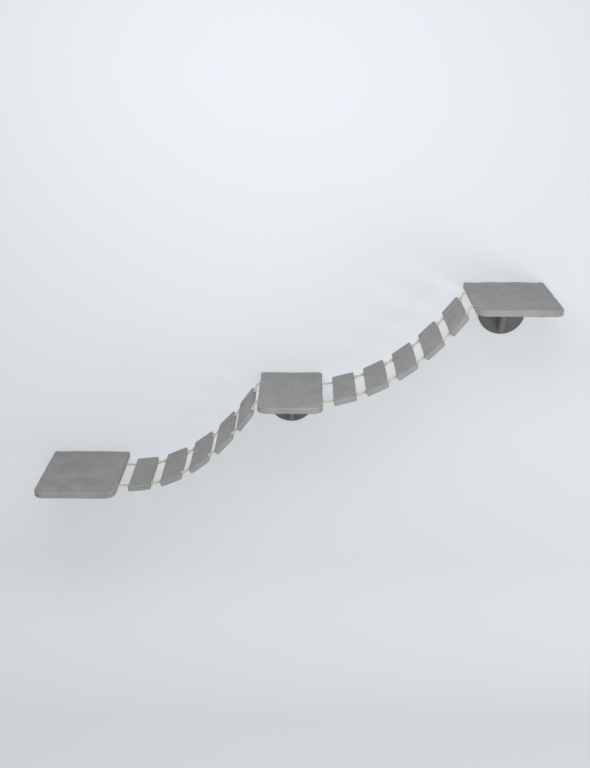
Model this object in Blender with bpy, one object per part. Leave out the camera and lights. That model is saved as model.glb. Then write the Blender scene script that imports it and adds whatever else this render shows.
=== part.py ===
"""Cat wall ladder: three padded platforms on round wall plates, with rope ladders of padded slats between them.

The wall is the plane y = 0 and the room is on its -y side. +x runs along the wall to the right and +z is up.
The origin is the centre of the back of the middle wall plate. All sizes are in metres.
"""

import math

import bmesh
import bpy
import numpy as np
from mathutils import Matrix, Vector

# Fits
TOUCH_GAP = 0.0003       # between pieces that touch
WALL_GAP = 0.001         # between the wall and the back of a platform

# Platforms
PLATFORM_DEPTH = 0.280   # out from the wall
END_WIDTH = 0.220        # left and right platforms
MIDDLE_WIDTH = 0.172
FRONT_CORNER = 0.028     # corner radii seen from above
BACK_CORNER = 0.008
BOARD_THICKNESS = 0.012
PAD_TOP = 0.0024         # plush and foam over the board, at its edge
PAD_CROWN = 0.0014       # how much more there is in the middle
PAD_SIDE = 0.0022
PAD_EDGE = 0.0035        # rounding of the pad's upper edge
HEM = 0.0014             # thickness of the cover turned under the board
HEM_WIDTH = 0.024

# Brackets
PLATE_RADIUS = 0.0655
PLATE_THICKNESS = 0.010
PLATE_EDGE = 0.007       # rounding of its front edge
RIB_THICKNESS = 0.015
RIB_REACH = 0.090        # out from the wall, under the board
RIB_NOSE = 0.014         # height of its front end
RIB_FOOT = 0.015         # out from the wall at its lower end
RIB_RAISE = 0.0075       # of its lower end above the plate's lowest point
RIB_CORNER = 0.005
RIB_EDGE = 0.0018        # rounding of its long edges

# Slats
SLATS = 5                # on each ladder
SLAT_WIDTH = 0.061       # along the ladder
SLAT_LENGTH = 0.190      # out from the wall
SLAT_CORNER = 0.004
SLAT_BOARD = 0.0115
SLAT_PAD_TOP = 0.0012
SLAT_PAD_CROWN = 0.0008
SLAT_PAD_SIDE = 0.0015
SLAT_PAD_EDGE = 0.0022
SLAT_HEM = 0.0012
SLAT_HEM_WIDTH = 0.014

# Ropes
ROPE_RADIUS = 0.003
ROPE_INSET = 0.027       # from the end of a slat to its rope
SLAT_GAP = 0.0292        # free rope between two slats
SLAT_HOLE_EASE = 0.0005  # round a rope in a slat's board
BOARD_HOLE_EASE = 0.001  # round a rope in a platform's board, more for the ladder's sway
COVER_HOLE_EASE = 0.0002 # how much wider the covers' holes are
KNOT_SWELL = 0.0023      # how much thicker than the rope a knot is, in radius
KNOT_LENGTH = 0.008
KNOT_OFF = 0.0004        # between a knot and the cover beside it
ROPE_TAIL = 0.003        # rope past its end knot
POCKET_EASE = 0.0005     # round a rope's end in its pocket, and from the pocket to the hem

# How the ladders hang
LOWER_RISE = 0.2465      # from one platform to the next
UPPER_RISE = 0.2640
LOWER_SLACK = 0.0525     # share by which a ladder is longer than the straight line between its ends
UPPER_SLACK = 0.0305
SWAY_DEGREES = 5.5       # how far the first slat turns each way

# Screws
SCREW_RADIUS = 0.00225
SCREW_HEAD = 0.0045
SCREW_HEAD_DEPTH = 0.0026
SCREW_HEAD_RIM = 0.0004
SCREW_POINT = 0.004
WALL_SCREW_LENGTH = 0.045
FRAME_SCREW_LENGTH = 0.036
WALL_SCREW_INSET = 0.0195  # from the plate's edge
WALL_SCREW_ANGLES = (10.0, 55.0, 125.0, 170.0)
RIB_SCREW_HEIGHTS = (-0.012, 0.035)
BOARD_SCREW_INSET = 0.0165 # from both ends of the rib's upper face

# Facets
FRONT_STEPS = 5
BACK_STEPS = 2
SLAT_STEPS = 2
HOLE_SIDES = 10
PLATE_SIDES = 40
EDGE_STEPS = 3           # round a plate's front edge and a rib's corners
SCREW_SIDES = 8
ROPE_RESOLUTION = 2
LEAST_CORNER = 0.0015
CUT_PAST = 0.002         # how far a cutter runs past a face

# Worked out from the sizes above
SLAT_HOLE = ROPE_RADIUS + SLAT_HOLE_EASE
BOARD_HOLE = ROPE_RADIUS + BOARD_HOLE_EASE
KNOT_RADIUS = ROPE_RADIUS + KNOT_SWELL
ROPE_END = math.hypot(ROPE_TAIL + KNOT_LENGTH / 2, ROPE_RADIUS)  # how far a rope reaches past its knot's middle
POCKET_RADIUS = ROPE_END / math.cos(math.pi / HOLE_SIDES) + POCKET_EASE
POCKET_INSET = HEM_WIDTH - PAD_SIDE - TOUCH_GAP + POCKET_EASE + POCKET_RADIUS  # from the board's side
RIB_STEP = WALL_GAP + HEM_WIDTH + TOUCH_GAP  # where the rib's upper face clears the hem
BOARD_SCREW_REACHES = (RIB_STEP + BOARD_SCREW_INSET, RIB_REACH - BOARD_SCREW_INSET)

# Heights within a platform or a slat, from its underside
BOARD_FOOT = HEM + TOUCH_GAP
BOARD_TOP = BOARD_FOOT + BOARD_THICKNESS
PLATFORM_ROPE = BOARD_FOOT + BOARD_THICKNESS / 2
SLAT_FOOT = SLAT_HEM + TOUCH_GAP
SLAT_ROPE = SLAT_FOOT + SLAT_BOARD / 2
UNDERSIDE = PLATE_RADIUS + TOUCH_GAP     # the middle platform's, above the origin
MIDDLE_Y = -WALL_GAP - PLATFORM_DEPTH / 2
ROPE_OUT = SLAT_LENGTH / 2 - ROPE_INSET  # each rope's distance from the middle of the depth
UP = Vector((0, 0, 1))
OUT = Vector((0, -1, 0))


def clear_scene():
    for item in list(bpy.data.objects):
        bpy.data.objects.remove(item, do_unlink=True)


def linear(hex_colour):
    channels = [int(hex_colour[i:i + 2], 16) / 255 for i in (0, 2, 4)]
    return [c / 12.92 if c <= 0.04045 else ((c + 0.055) / 1.055) ** 2.4 for c in channels] + [1.0]


def finish(name, hex_colour, roughness, metallic=0.0):
    material = bpy.data.materials.new(name)
    material.use_nodes = True
    shader = material.node_tree.nodes["Principled BSDF"]
    shader.inputs["Base Color"].default_value = linear(hex_colour)
    shader.inputs["Roughness"].default_value = roughness
    shader.inputs["Metallic"].default_value = metallic
    return material


def place(name, data, material, location=(0, 0, 0), tilt=0.0, parent=None):
    """Puts a mesh or a curve in the scene. A tilt lifts its +x end, and a parent is an unturned empty."""
    item = bpy.data.objects.new(name, data)
    if not data.materials:
        data.materials.append(material)
    bpy.context.scene.collection.objects.link(item)
    item.parent = parent
    item.location = Vector(location) - (parent.matrix_world.translation if parent else Vector())
    item.rotation_euler = (0, -tilt, 0)
    return item


def loft(name, rings, smooth_angle=35.0):
    """One closed solid through rings of points, each with as many points as the next, capped at both ends."""
    shape = bmesh.new()
    loops = [[shape.verts.new(point) for point in ring] for ring in rings]
    for low, high in zip(loops, loops[1:]):
        for i in range(len(low)):
            j = (i + 1) % len(low)
            shape.faces.new((low[i], low[j], high[j], high[i]))
    shape.faces.new(loops[0][::-1])
    shape.faces.new(loops[-1])
    bmesh.ops.recalc_face_normals(shape, faces=shape.faces)
    mesh = bpy.data.meshes.new(name)
    shape.to_mesh(mesh)
    shape.free()
    mesh.shade_smooth()
    mesh.set_sharp_from_angle(angle=math.radians(smooth_angle))
    return mesh


def turned(name, profile, start, axis, sides):
    """A solid turned about an axis from (radius, distance along the axis) pairs."""
    turn = Vector(axis).to_track_quat("Z", "Y").to_matrix()
    rings = []
    for radius, distance in profile:
        angles = [2 * math.pi * (i + 0.5) / sides for i in range(sides)]
        flat = [Vector((radius * math.cos(a), radius * math.sin(a), distance)) for a in angles]
        rings.append([Vector(start) + turn @ point for point in flat])
    return loft(name, rings)


def cut(mesh, *groups):
    """The mesh with groups of cutters taken out of it. The cutters of one group don't meet each other."""
    name = mesh.name
    body = bpy.data.objects.new(name, mesh)
    scene = bpy.context.scene.collection.objects
    scene.link(body)
    tools = []
    for group in groups:
        shape = bmesh.new()
        for cutter in group:
            shape.from_mesh(cutter)
        joined = bpy.data.meshes.new("cutter")
        shape.to_mesh(joined)
        shape.free()
        tool = bpy.data.objects.new("cutter", joined)
        tool.hide_render = True
        tool.display_type = "WIRE"
        scene.link(tool)
        tools.append(tool)
        boolean = body.modifiers.new("cut", "BOOLEAN")
        boolean.operation = "DIFFERENCE"
        boolean.solver = "EXACT"
        boolean.object = tool
    view = bpy.context.evaluated_depsgraph_get()
    result = bpy.data.meshes.new_from_object(body.evaluated_get(view))
    for item in tools + [body]:
        bpy.data.objects.remove(item, do_unlink=True)
    bpy.data.meshes.remove(mesh)
    result.name = name
    return result


def plan(width, depth, front_radius, back_radius, steps, inset, height):
    """A rounded rectangle seen from above, from y = 0 at the back to y = -depth, drawn in by inset."""
    half = width / 2 - inset
    front_steps, back_steps = steps
    points = []
    for corner, (side, edge, radius, count) in enumerate((
        (1, 0, back_radius, back_steps),
        (-1, 0, back_radius, back_steps),
        (-1, 1, front_radius, front_steps),
        (1, 1, front_radius, front_steps),
    )):
        radius = max(radius - inset, LEAST_CORNER)
        middle_x = side * (half - radius)
        middle_y = -depth + inset + radius if edge else -inset - radius
        for step in range(count + 1):
            angle = math.radians(90 * (corner + step / count))
            points.append((middle_x + radius * math.cos(angle), middle_y + radius * math.sin(angle), height))
    return points


def board_mesh(name, outline, side_pad, foot, thickness):
    """A flat board that fits a cover with walls of side_pad."""
    inset = side_pad + TOUCH_GAP
    return loft(name, [plan(*outline, inset, foot), plan(*outline, inset, foot + thickness)])


def cover_mesh(name, outline, hem, hem_width, board, side_pad, top_pad, edge, crown):
    """A padded cover round a board, turned under it as a hem, with an open window on its underside."""
    inner_top = hem + board + 2 * TOUCH_GAP
    top = inner_top + top_pad
    under = hem * 0.6
    profile = [(side_pad, inner_top), (side_pad, hem), (hem_width, hem), (hem_width, 0.0)]
    profile += [(under, 0.0), (0.0, under), (0.0, top - edge)]
    profile += [(edge * (1 - math.cos(a)), top - edge * (1 - math.sin(a))) for a in (math.pi / 4, math.pi / 2)]
    reach = min(outline[0], outline[1]) / 2
    for share in (0.35, 0.75):
        profile.append((edge + (reach - edge) * share, top + crown * math.sin(share * math.pi / 2)))
    return loft(name, [plan(*outline, inset, height) for inset, height in profile])


def countersunk(name, head_face, axis, length, ease=0.0, past=0.0):
    """A countersunk screw, or with an ease the hole that it needs. Its head's flat face is at head_face."""
    neck = SCREW_HEAD_RIM + SCREW_HEAD_DEPTH
    profile = [(SCREW_HEAD + ease, -past), (SCREW_HEAD + ease, SCREW_HEAD_RIM + ease)]
    profile += [(SCREW_RADIUS + ease, neck + ease), (SCREW_RADIUS + ease, length - SCREW_POINT + ease)]
    profile += [((SCREW_RADIUS + ease) * 0.3, length + ease)]
    return turned(name, profile, head_face, axis, SCREW_SIDES)


def rounded(mesh, radius):
    """Rounds the edges along the mesh's two faces square to x."""
    shape = bmesh.new()
    shape.from_mesh(mesh)
    edges = [edge for edge in shape.edges if sum(abs(face.normal.x) > 0.99 for face in edge.link_faces) == 1]
    bmesh.ops.bevel(shape, geom=edges, offset=radius, segments=2, profile=0.5, affect="EDGES")
    shape.to_mesh(mesh)
    shape.free()


def through_hole(radius, start, end):
    axis = Vector(end) - Vector(start)
    return turned("hole", [(radius, 0), (radius, axis.length)], start, axis, HOLE_SIDES)


def screw_hole(head_face, axis, length):
    return countersunk("hole", head_face, axis, length, TOUCH_GAP, CUT_PAST)


def hang(span, rise):
    """Tilts of a ladder's slats, and of the free rope before, between and after them, hung across span and rise.

    Equal weights on a light rope hang with the tangent of its slope growing by one step from each to the next.
    """
    slat_steps = np.arange(1, SLATS + 1)
    gap_steps = np.arange(0, SLATS + 1) + 0.5

    def miss(first, step):
        slats = np.arctan(first + step * slat_steps)
        gaps = np.arctan(first + step * gap_steps)
        across = SLAT_WIDTH * np.cos(slats).sum() + SLAT_GAP * np.cos(gaps).sum() - span
        upward = SLAT_WIDTH * np.sin(slats).sum() + SLAT_GAP * np.sin(gaps).sum() - rise
        return np.array([across, upward])

    guess = np.array([rise / span - 0.3 * SLATS / 2, 0.3])
    small = 1e-6
    for _ in range(50):
        here = miss(*guess)
        slope = np.column_stack([(miss(*(guess + move)) - here) / small for move in np.eye(2) * small])
        change = np.linalg.solve(slope, -here)
        guess = guess + change * min(1.0, 0.3 / np.abs(change).max())
        if np.abs(change).max() < 1e-12:
            break
    first, step = guess
    return np.arctan(first + step * slat_steps), np.arctan(first + step * gap_steps)


class Ladder:
    """Where the slats, the rope and the joints of one ladder are, in the wall's x and z."""

    def __init__(self, start, rise, slack):
        chord = (SLATS * SLAT_WIDTH + (SLATS + 1) * SLAT_GAP) / (1 + slack)
        self.span = math.sqrt(chord ** 2 - rise ** 2)
        self.start = np.array(start)
        self.tilts, self.gap_tilts = hang(self.span, rise)
        point = self.start
        self.slats = []
        for tilt, gap_tilt in zip(self.tilts, self.gap_tilts):
            low = point + SLAT_GAP * np.array([math.cos(gap_tilt), math.sin(gap_tilt)])
            point = low + SLAT_WIDTH * np.array([math.cos(tilt), math.sin(tilt)])
            self.slats.append((low, point))
        self.end = self.start + np.array([self.span, rise])
        between = [(this[1] + after[0]) / 2 for this, after in zip(self.slats, self.slats[1:])]
        self.pivots = [self.start] + between + [self.end]

    def sway(self):
        """The turn of each slat in the ladder's slowest free swing, for one unit of the first slat's."""
        links = [b - a for a, b in zip(self.pivots, self.pivots[1:])]
        pull = np.diag([np.hypot(*link) * np.hypot(*link) / link[0] for link in links])
        mass = np.zeros((SLATS, SLATS))
        for i, (low, high) in enumerate(self.slats):
            moves = np.array([[-link[1], link[0]] for link in links]).T
            moves[:, i + 1:] = 0
            arm = (low + high) / 2 - self.pivots[i]
            moves[:, i] = (-arm[1], arm[0])
            mass += moves.T @ moves
            mass[i, i] += SLAT_WIDTH ** 2 / 12
        closed = np.array([[-link[1] for link in links], [link[0] for link in links]])
        free = np.linalg.svd(closed)[2][2:].T
        speeds, shapes = np.linalg.eig(np.linalg.solve(free.T @ mass @ free, free.T @ pull @ free))
        turns = (free @ shapes[:, np.argmin(speeds.real)]).real
        return turns / turns[0]

    def stray(self, degrees):
        """How far the ladder's upper end moves off its platform when the first slat has turned this far."""
        point = self.start.copy()
        for turn, a, b in zip(self.sway(), self.pivots, self.pivots[1:]):
            angle = math.radians(degrees) * turn
            link = b - a
            point += (math.cos(angle) * link[0] - math.sin(angle) * link[1],
                      math.sin(angle) * link[0] + math.cos(angle) * link[1])
        return point - self.end


def bend(start, start_tilt, end, end_tilt, count=24):
    """Points of a rope that leaves start and reaches end at the tilts given."""
    pull = np.hypot(*(end - start)) * 1.15
    leave = pull * np.array([math.cos(start_tilt), math.sin(start_tilt)])
    reach = pull * np.array([math.cos(end_tilt), math.sin(end_tilt)])
    points = []
    for t in np.linspace(0, 1, count):
        points.append((2 * t ** 3 - 3 * t ** 2 + 1) * start + (t ** 3 - 2 * t ** 2 + t) * leave
                      + (3 * t ** 2 - 2 * t ** 3) * end + (t ** 3 - t ** 2) * reach)
    return points


def knot(middle):
    """Places along a rope, and the rope's radius there, for a knot."""
    half = KNOT_LENGTH / 2
    shoulder = half * 0.55
    return [(middle - half, ROPE_RADIUS), (middle - shoulder, KNOT_RADIUS),
            (middle + shoulder, KNOT_RADIUS), (middle + half, ROPE_RADIUS)]


def rope_course(ladder):
    """The rope's middle line in x and z, and its radius at places along it, from one end knot to the other."""
    inside = np.array([PAD_SIDE + TOUCH_GAP + POCKET_INSET, 0.0])
    tail = np.array([ROPE_TAIL + KNOT_LENGTH / 2, 0.0])
    line = [ladder.start - inside - tail, ladder.start]
    faces = [np.hypot(*(inside + tail))]
    ends = [(ladder.start, 0.0)]
    for (low, high), tilt in zip(ladder.slats, ladder.tilts):
        ends += [(low, tilt), (high, tilt)]
    ends.append((ladder.end, 0.0))
    for i in range(0, len(ends), 2):
        curve = bend(*ends[i], *ends[i + 1])
        faces.append(faces[-1] + sum(np.hypot(*(b - a)) for a, b in zip(curve, curve[1:])))
        line += curve[1:]
        if i + 2 < len(ends):
            line.append(ends[i + 2][0])
            faces.append(faces[-1] + SLAT_WIDTH)
    line.append(ladder.end + inside + tail)
    length = faces[-1] + np.hypot(*(inside + tail))

    first_knot = ROPE_TAIL + KNOT_LENGTH / 2
    beside = KNOT_OFF + KNOT_LENGTH / 2
    stations = [(0.0, ROPE_RADIUS)] + knot(first_knot) + knot(length - first_knot) + [(length, ROPE_RADIUS)]
    for gap in range(SLATS + 1):
        low, high = faces[2 * gap], faces[2 * gap + 1]
        if gap > 0:
            stations += knot(low + beside)
            low += beside + KNOT_LENGTH / 2
        else:
            stations.append((low, ROPE_RADIUS))
        if 0 < gap < SLATS:
            stations += knot(high - beside)
            high -= beside + KNOT_LENGTH / 2
        else:
            stations.append((high, ROPE_RADIUS))
        count = max(2, round((high - low) / (2 * ROPE_RADIUS)))
        stations += [(low + (high - low) * i / count, ROPE_RADIUS) for i in range(1, count)]
        if gap < SLATS:
            stations.append((faces[2 * gap + 1] + SLAT_WIDTH / 2, ROPE_RADIUS))
    return np.array(line), sorted(stations), length


def rope_curve(name, ladder, y):
    line, stations, _ = rope_course(ladder)
    steps = np.hypot(*np.diff(line, axis=0).T)
    along = np.concatenate([[0.0], np.cumsum(steps)])
    curve = bpy.data.curves.new(name, "CURVE")
    curve.dimensions = "3D"
    curve.bevel_depth = ROPE_RADIUS
    curve.bevel_resolution = ROPE_RESOLUTION
    curve.use_fill_caps = True
    spline = curve.splines.new("POLY")
    spline.points.add(len(stations) - 1)
    for point, (place_along, radius) in zip(spline.points, stations):
        x = np.interp(place_along, along, line[:, 0])
        z = np.interp(place_along, along, line[:, 1])
        point.co = (x, y, z, 1.0)
        point.radius = radius / ROPE_RADIUS
    return curve


def rib_outline():
    """The rib seen from the side, as distance out from the wall and height above the plate's centre."""
    back = PLATE_THICKNESS + TOUCH_GAP
    under_hem = UNDERSIDE - TOUCH_GAP
    under_board = UNDERSIDE + BOARD_FOOT - TOUCH_GAP
    lower_end = RIB_RAISE - PLATE_RADIUS
    corners = [
        (back, lower_end, 0.0),
        (RIB_FOOT, lower_end, RIB_CORNER / 2),
        (RIB_REACH, under_board - RIB_NOSE, RIB_CORNER),
        (RIB_REACH, under_board, RIB_CORNER / 2),
        (RIB_STEP, under_board, 0.0),
        (RIB_STEP, under_hem, 0.0),
        (back, under_hem, 0.0),
    ]
    points = []
    for i, (out, height, radius) in enumerate(corners):
        here = Vector((out, height))
        if radius == 0:
            points.append(here)
            continue
        before = (Vector(corners[i - 1][:2]) - here).normalized()
        after = (Vector(corners[(i + 1) % len(corners)][:2]) - here).normalized()
        half_angle = before.angle(after) / 2
        middle = here + (before + after).normalized() * radius / math.sin(half_angle)
        first = here + before * radius / math.tan(half_angle) - middle
        last = here + after * radius / math.tan(half_angle) - middle
        for t in np.linspace(0, 1, EDGE_STEPS + 1):
            points.append(middle + (first * (1 - t) + last * t).normalized() * radius)
    return points


def bracket(side, x, height, wrapped, steel):
    """Wall plate, rib and their screws. The height is the plate's centre."""
    middle = Vector((x, 0, height))
    profile = [(PLATE_RADIUS, 0)]
    for angle in np.linspace(0, math.pi / 2, EDGE_STEPS + 1):
        profile.append((PLATE_RADIUS - PLATE_EDGE * (1 - math.cos(angle)),
                        PLATE_THICKNESS - PLATE_EDGE * (1 - math.sin(angle))))
    plate = turned(f"{side}_wall_plate", profile, (0, 0, 0), OUT, PLATE_SIDES)
    heads = []
    for angle in WALL_SCREW_ANGLES:
        turn = math.radians(angle)
        aside = Vector((math.cos(turn), 0, math.sin(turn))) * (PLATE_RADIUS - WALL_SCREW_INSET)
        heads.append(aside + OUT * PLATE_THICKNESS)
    backs = [UP * rise for rise in RIB_SCREW_HEIGHTS]
    tops = [OUT * reach + UP * (UNDERSIDE + BOARD_TOP) for reach in BOARD_SCREW_REACHES]
    plate = cut(plate, [screw_hole(head, -OUT, WALL_SCREW_LENGTH) for head in heads],
                [screw_hole(back, OUT, FRAME_SCREW_LENGTH) for back in backs])
    place(plate.name, plate, wrapped, middle)

    rib = loft(f"{side}_rib", [[(half, -out, up) for out, up in rib_outline()]
                               for half in (-RIB_THICKNESS / 2, RIB_THICKNESS / 2)])
    rounded(rib, RIB_EDGE)
    rib = cut(rib, [screw_hole(back, OUT, FRAME_SCREW_LENGTH) for back in backs]
              + [screw_hole(top, -UP, FRAME_SCREW_LENGTH) for top in tops])
    place(rib.name, rib, wrapped, middle)

    for kind, faces, axis, length in (
        ("wall", heads, -OUT, WALL_SCREW_LENGTH),
        ("rib", backs, OUT, FRAME_SCREW_LENGTH),
        ("board", tops, -UP, FRAME_SCREW_LENGTH),
    ):
        for number, face in enumerate(faces, 1):
            name = f"{side}_{kind}_screw_{number}"
            place(name, countersunk(name, (0, 0, 0), axis, length), steel, middle + face)


def platform(side, x, height, width, rope_sides, plush, wood):
    """Board and cover of one platform. Its bracket's plate centre is at x and height."""
    outline = (width, PLATFORM_DEPTH, FRONT_CORNER, BACK_CORNER, (FRONT_STEPS, BACK_STEPS))
    corner = Vector((x, -WALL_GAP, height + UNDERSIDE))
    board = board_mesh(f"{side}_platform_board", outline, PAD_SIDE, BOARD_FOOT, BOARD_THICKNESS)
    cover = cover_mesh(f"{side}_platform_cover", outline, HEM, HEM_WIDTH, BOARD_THICKNESS,
                       PAD_SIDE, PAD_TOP, PAD_EDGE, PAD_CROWN)
    holes, cover_holes, pockets = [], [], []
    for direction in rope_sides:
        for y in (-PLATFORM_DEPTH / 2 - ROPE_OUT, -PLATFORM_DEPTH / 2 + ROPE_OUT):
            pocket_x = direction * (width / 2 - PAD_SIDE - TOUCH_GAP - POCKET_INSET)
            outside = (direction * (width / 2 + CUT_PAST), y, PLATFORM_ROPE)
            holes.append(through_hole(BOARD_HOLE, (pocket_x, y, PLATFORM_ROPE), outside))
            inside = (direction * (width / 2 - PAD_SIDE - CUT_PAST), y, PLATFORM_ROPE)
            cover_holes.append(through_hole(BOARD_HOLE + COVER_HOLE_EASE, inside, outside))
            pockets.append(through_hole(POCKET_RADIUS, (pocket_x, y, BOARD_FOOT - CUT_PAST),
                                        (pocket_x, y, BOARD_TOP + CUT_PAST)))
    screws = [screw_hole(Vector((0, WALL_GAP - reach, BOARD_TOP)), -UP, FRAME_SCREW_LENGTH)
              for reach in BOARD_SCREW_REACHES]
    board = cut(board, holes, pockets, screws)
    cover = cut(cover, cover_holes)
    place(board.name, board, wood, corner)
    place(cover.name, cover, plush, corner)


def slat_meshes():
    """Board and cover of a slat, with the rope line on z = 0 and the middle of the slat's width on x = 0."""
    outline = (SLAT_WIDTH, SLAT_LENGTH, SLAT_CORNER, SLAT_CORNER, (SLAT_STEPS, SLAT_STEPS))
    board = board_mesh("slat_board", outline, SLAT_PAD_SIDE, SLAT_FOOT, SLAT_BOARD)
    cover = cover_mesh("slat_cover", outline, SLAT_HEM, SLAT_HEM_WIDTH, SLAT_BOARD,
                       SLAT_PAD_SIDE, SLAT_PAD_TOP, SLAT_PAD_EDGE, SLAT_PAD_CROWN)
    to_rope = Matrix.Translation((0, SLAT_LENGTH / 2, -SLAT_ROPE))
    board.transform(to_rope)
    cover.transform(to_rope)
    end = SLAT_WIDTH / 2 + CUT_PAST
    lines = (ROPE_OUT, -ROPE_OUT)
    board = cut(board, [through_hole(SLAT_HOLE, (-end, y, 0), (end, y, 0)) for y in lines])
    cover = cut(cover, [through_hole(SLAT_HOLE + COVER_HOLE_EASE, (-end, y, 0), (end, y, 0)) for y in lines])
    return board, cover


def hang_ladder(name, ladder, meshes, plush, wood, hemp):
    """Slats of one ladder, each on an empty at its joint, and its two ropes."""
    board, cover = meshes
    joint = None
    for number, ((low, high), tilt) in enumerate(zip(ladder.slats, ladder.tilts), 1):
        pivot = ladder.pivots[number - 1]
        at = Vector((pivot[0], MIDDLE_Y, pivot[1]))
        empty = bpy.data.objects.new(f"{name}_slat_{number}_joint", None)
        bpy.context.scene.collection.objects.link(empty)
        empty.parent = joint
        empty.location = at - (joint.matrix_world.translation if joint else Vector())
        bpy.context.view_layer.update()
        joint = empty
        middle = (low + high) / 2
        centre = Vector((middle[0], MIDDLE_Y, middle[1]))
        place(f"{name}_slat_{number}_board", board, wood, centre, tilt, joint)
        place(f"{name}_slat_{number}_cover", cover, plush, centre, tilt, joint)
    for side, y in (("back", MIDDLE_Y + ROPE_OUT), ("front", MIDDLE_Y - ROPE_OUT)):
        place(f"{name}_{side}_rope", rope_curve(f"{name}_{side}_rope", ladder, y), hemp)


def report(name, ladder):
    """Prints what the joints need: pivots, ratios to the first joint, and the clearance at the opened end."""
    turns = ladder.sway()
    ratios = np.diff(np.concatenate([[0.0], turns]))
    for number, (pivot, ratio) in enumerate(zip(ladder.pivots, ratios), 1):
        print(f"{name} slat {number}: joint at x {pivot[0]:.5f}, z {pivot[1]:.5f}, ratio {ratio:.4f}, "
              f"tilt {math.degrees(ladder.tilts[number - 1]):.1f} degrees")
    for degrees in (-SWAY_DEGREES, SWAY_DEGREES):
        stray = ladder.stray(degrees) * 1000
        print(f"{name} upper end at {degrees} degrees: {stray[0]:.2f} mm across, {stray[1]:.2f} mm up")
    _, stations, length = rope_course(ladder)
    print(f"{name} ropes: {length * 1000:.0f} mm each, {len(stations)} points, span {ladder.span * 1000:.1f} mm")


def main():
    clear_scene()
    plush = finish("grey plush", "9A9A9B", 0.95)
    wood = finish("birch plywood", "C9AE86", 0.7)
    wrapped = finish("wood wrapped in grey plush", "8C8D8E", 0.95)
    hemp = finish("cream cotton rope", "DCD3BC", 0.9)
    steel = finish("zinc plated steel", "B9BBBD", 0.35, 1.0)

    rope_height = UNDERSIDE + PLATFORM_ROPE
    upper = Ladder((MIDDLE_WIDTH / 2, rope_height), UPPER_RISE, UPPER_SLACK)
    lower = Ladder((0, 0), LOWER_RISE, LOWER_SLACK)
    lower_start = (-MIDDLE_WIDTH / 2 - lower.span, rope_height - LOWER_RISE)
    lower = Ladder(lower_start, LOWER_RISE, LOWER_SLACK)
    left_x = lower.start[0] - END_WIDTH / 2
    right_x = upper.end[0] + END_WIDTH / 2

    for side, x, height, width, rope_sides in (
        ("left", left_x, -LOWER_RISE, END_WIDTH, (1,)),
        ("middle", 0.0, 0.0, MIDDLE_WIDTH, (-1, 1)),
        ("right", right_x, UPPER_RISE, END_WIDTH, (-1,)),
    ):
        bracket(side, x, height, wrapped, steel)
        platform(side, x, height, width, rope_sides, plush, wood)
    meshes = slat_meshes()
    for name, ladder in (("lower", lower), ("upper", upper)):
        hang_ladder(name, ladder, meshes, plush, wood, hemp)
        report(name, ladder)


main()
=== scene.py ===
# %% [markdown]
# # Wall ladder with padded platforms
#
# Three padded platforms stand out from a wall on round plates. Between each two hangs a rope ladder of padded
# slats. This lesson dresses the plain solids of the model: it lays plush over the boards, twists the ropes
# strand by strand, tacks the hems with staples, and lights the lot like a shop photograph.
#
# The wall is the plane y = 0 and the room is on its -y side. +x runs along the wall to the right, and +z
# is up.

# %% The frame
import math

import bmesh
import bpy
import numpy as np
from mathutils import Matrix, Vector


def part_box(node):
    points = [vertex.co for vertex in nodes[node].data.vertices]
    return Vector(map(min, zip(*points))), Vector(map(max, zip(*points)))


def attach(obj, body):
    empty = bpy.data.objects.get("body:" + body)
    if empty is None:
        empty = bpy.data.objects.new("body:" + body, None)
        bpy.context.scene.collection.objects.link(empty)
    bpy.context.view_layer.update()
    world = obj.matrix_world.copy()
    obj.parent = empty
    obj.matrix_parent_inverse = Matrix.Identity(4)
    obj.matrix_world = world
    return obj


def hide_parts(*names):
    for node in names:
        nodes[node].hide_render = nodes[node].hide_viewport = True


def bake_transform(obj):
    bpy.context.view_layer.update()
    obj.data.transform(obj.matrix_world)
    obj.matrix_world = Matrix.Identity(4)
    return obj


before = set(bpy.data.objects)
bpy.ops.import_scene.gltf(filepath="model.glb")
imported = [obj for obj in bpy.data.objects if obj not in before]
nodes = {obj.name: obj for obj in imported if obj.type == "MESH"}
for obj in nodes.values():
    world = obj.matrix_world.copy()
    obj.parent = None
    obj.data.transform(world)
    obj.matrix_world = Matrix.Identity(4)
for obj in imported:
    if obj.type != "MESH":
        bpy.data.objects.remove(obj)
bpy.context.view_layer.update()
scene = bpy.context.scene

# %% [markdown]
# ## Helpers for colours and nodes
#
# A colour picked on a screen is an sRGB hex value, and shaders work in linear light, so one function turns
# the first into the second. Another adds a node to any tree, for a material or for geometry. The rest are
# short names for what is used most: arithmetic, noise with features of a size in metres, and relief.


# %% Colours and nodes
def linear(hex_colour):
    channels = [int(hex_colour[i:i + 2], 16) / 255 for i in (0, 2, 4)]
    return [c / 12.92 if c <= 0.04045 else ((c + 0.055) / 1.055) ** 2.4 for c in channels] + [1.0]


def feed(tree, node, inputs):
    """Gives a node its inputs, by name or by number: a socket is linked and a value is set."""
    for key, value in inputs.items():
        if isinstance(value, bpy.types.NodeSocket):
            tree.links.new(value, node.inputs[key])
        else:
            node.inputs[key].default_value = value


def add(tree, kind, inputs=None, **settings):
    """A new node with its settings and inputs."""
    node = tree.nodes.new(kind)
    for name, value in settings.items():
        setattr(node, name, value)
    feed(tree, node, inputs or {})
    return node


def calculate(tree, operation, *values):
    """One step of arithmetic on numbers or sockets."""
    return add(tree, "ShaderNodeMath", dict(enumerate(values)), operation=operation).outputs["Value"]


def noise(tree, place, size, **inputs):
    """Noise from 0 to 1 with features of this size in metres."""
    return add(tree, "ShaderNodeTexNoise", {"Vector": place, "Scale": 1 / size, **inputs}).outputs["Fac"]


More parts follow.
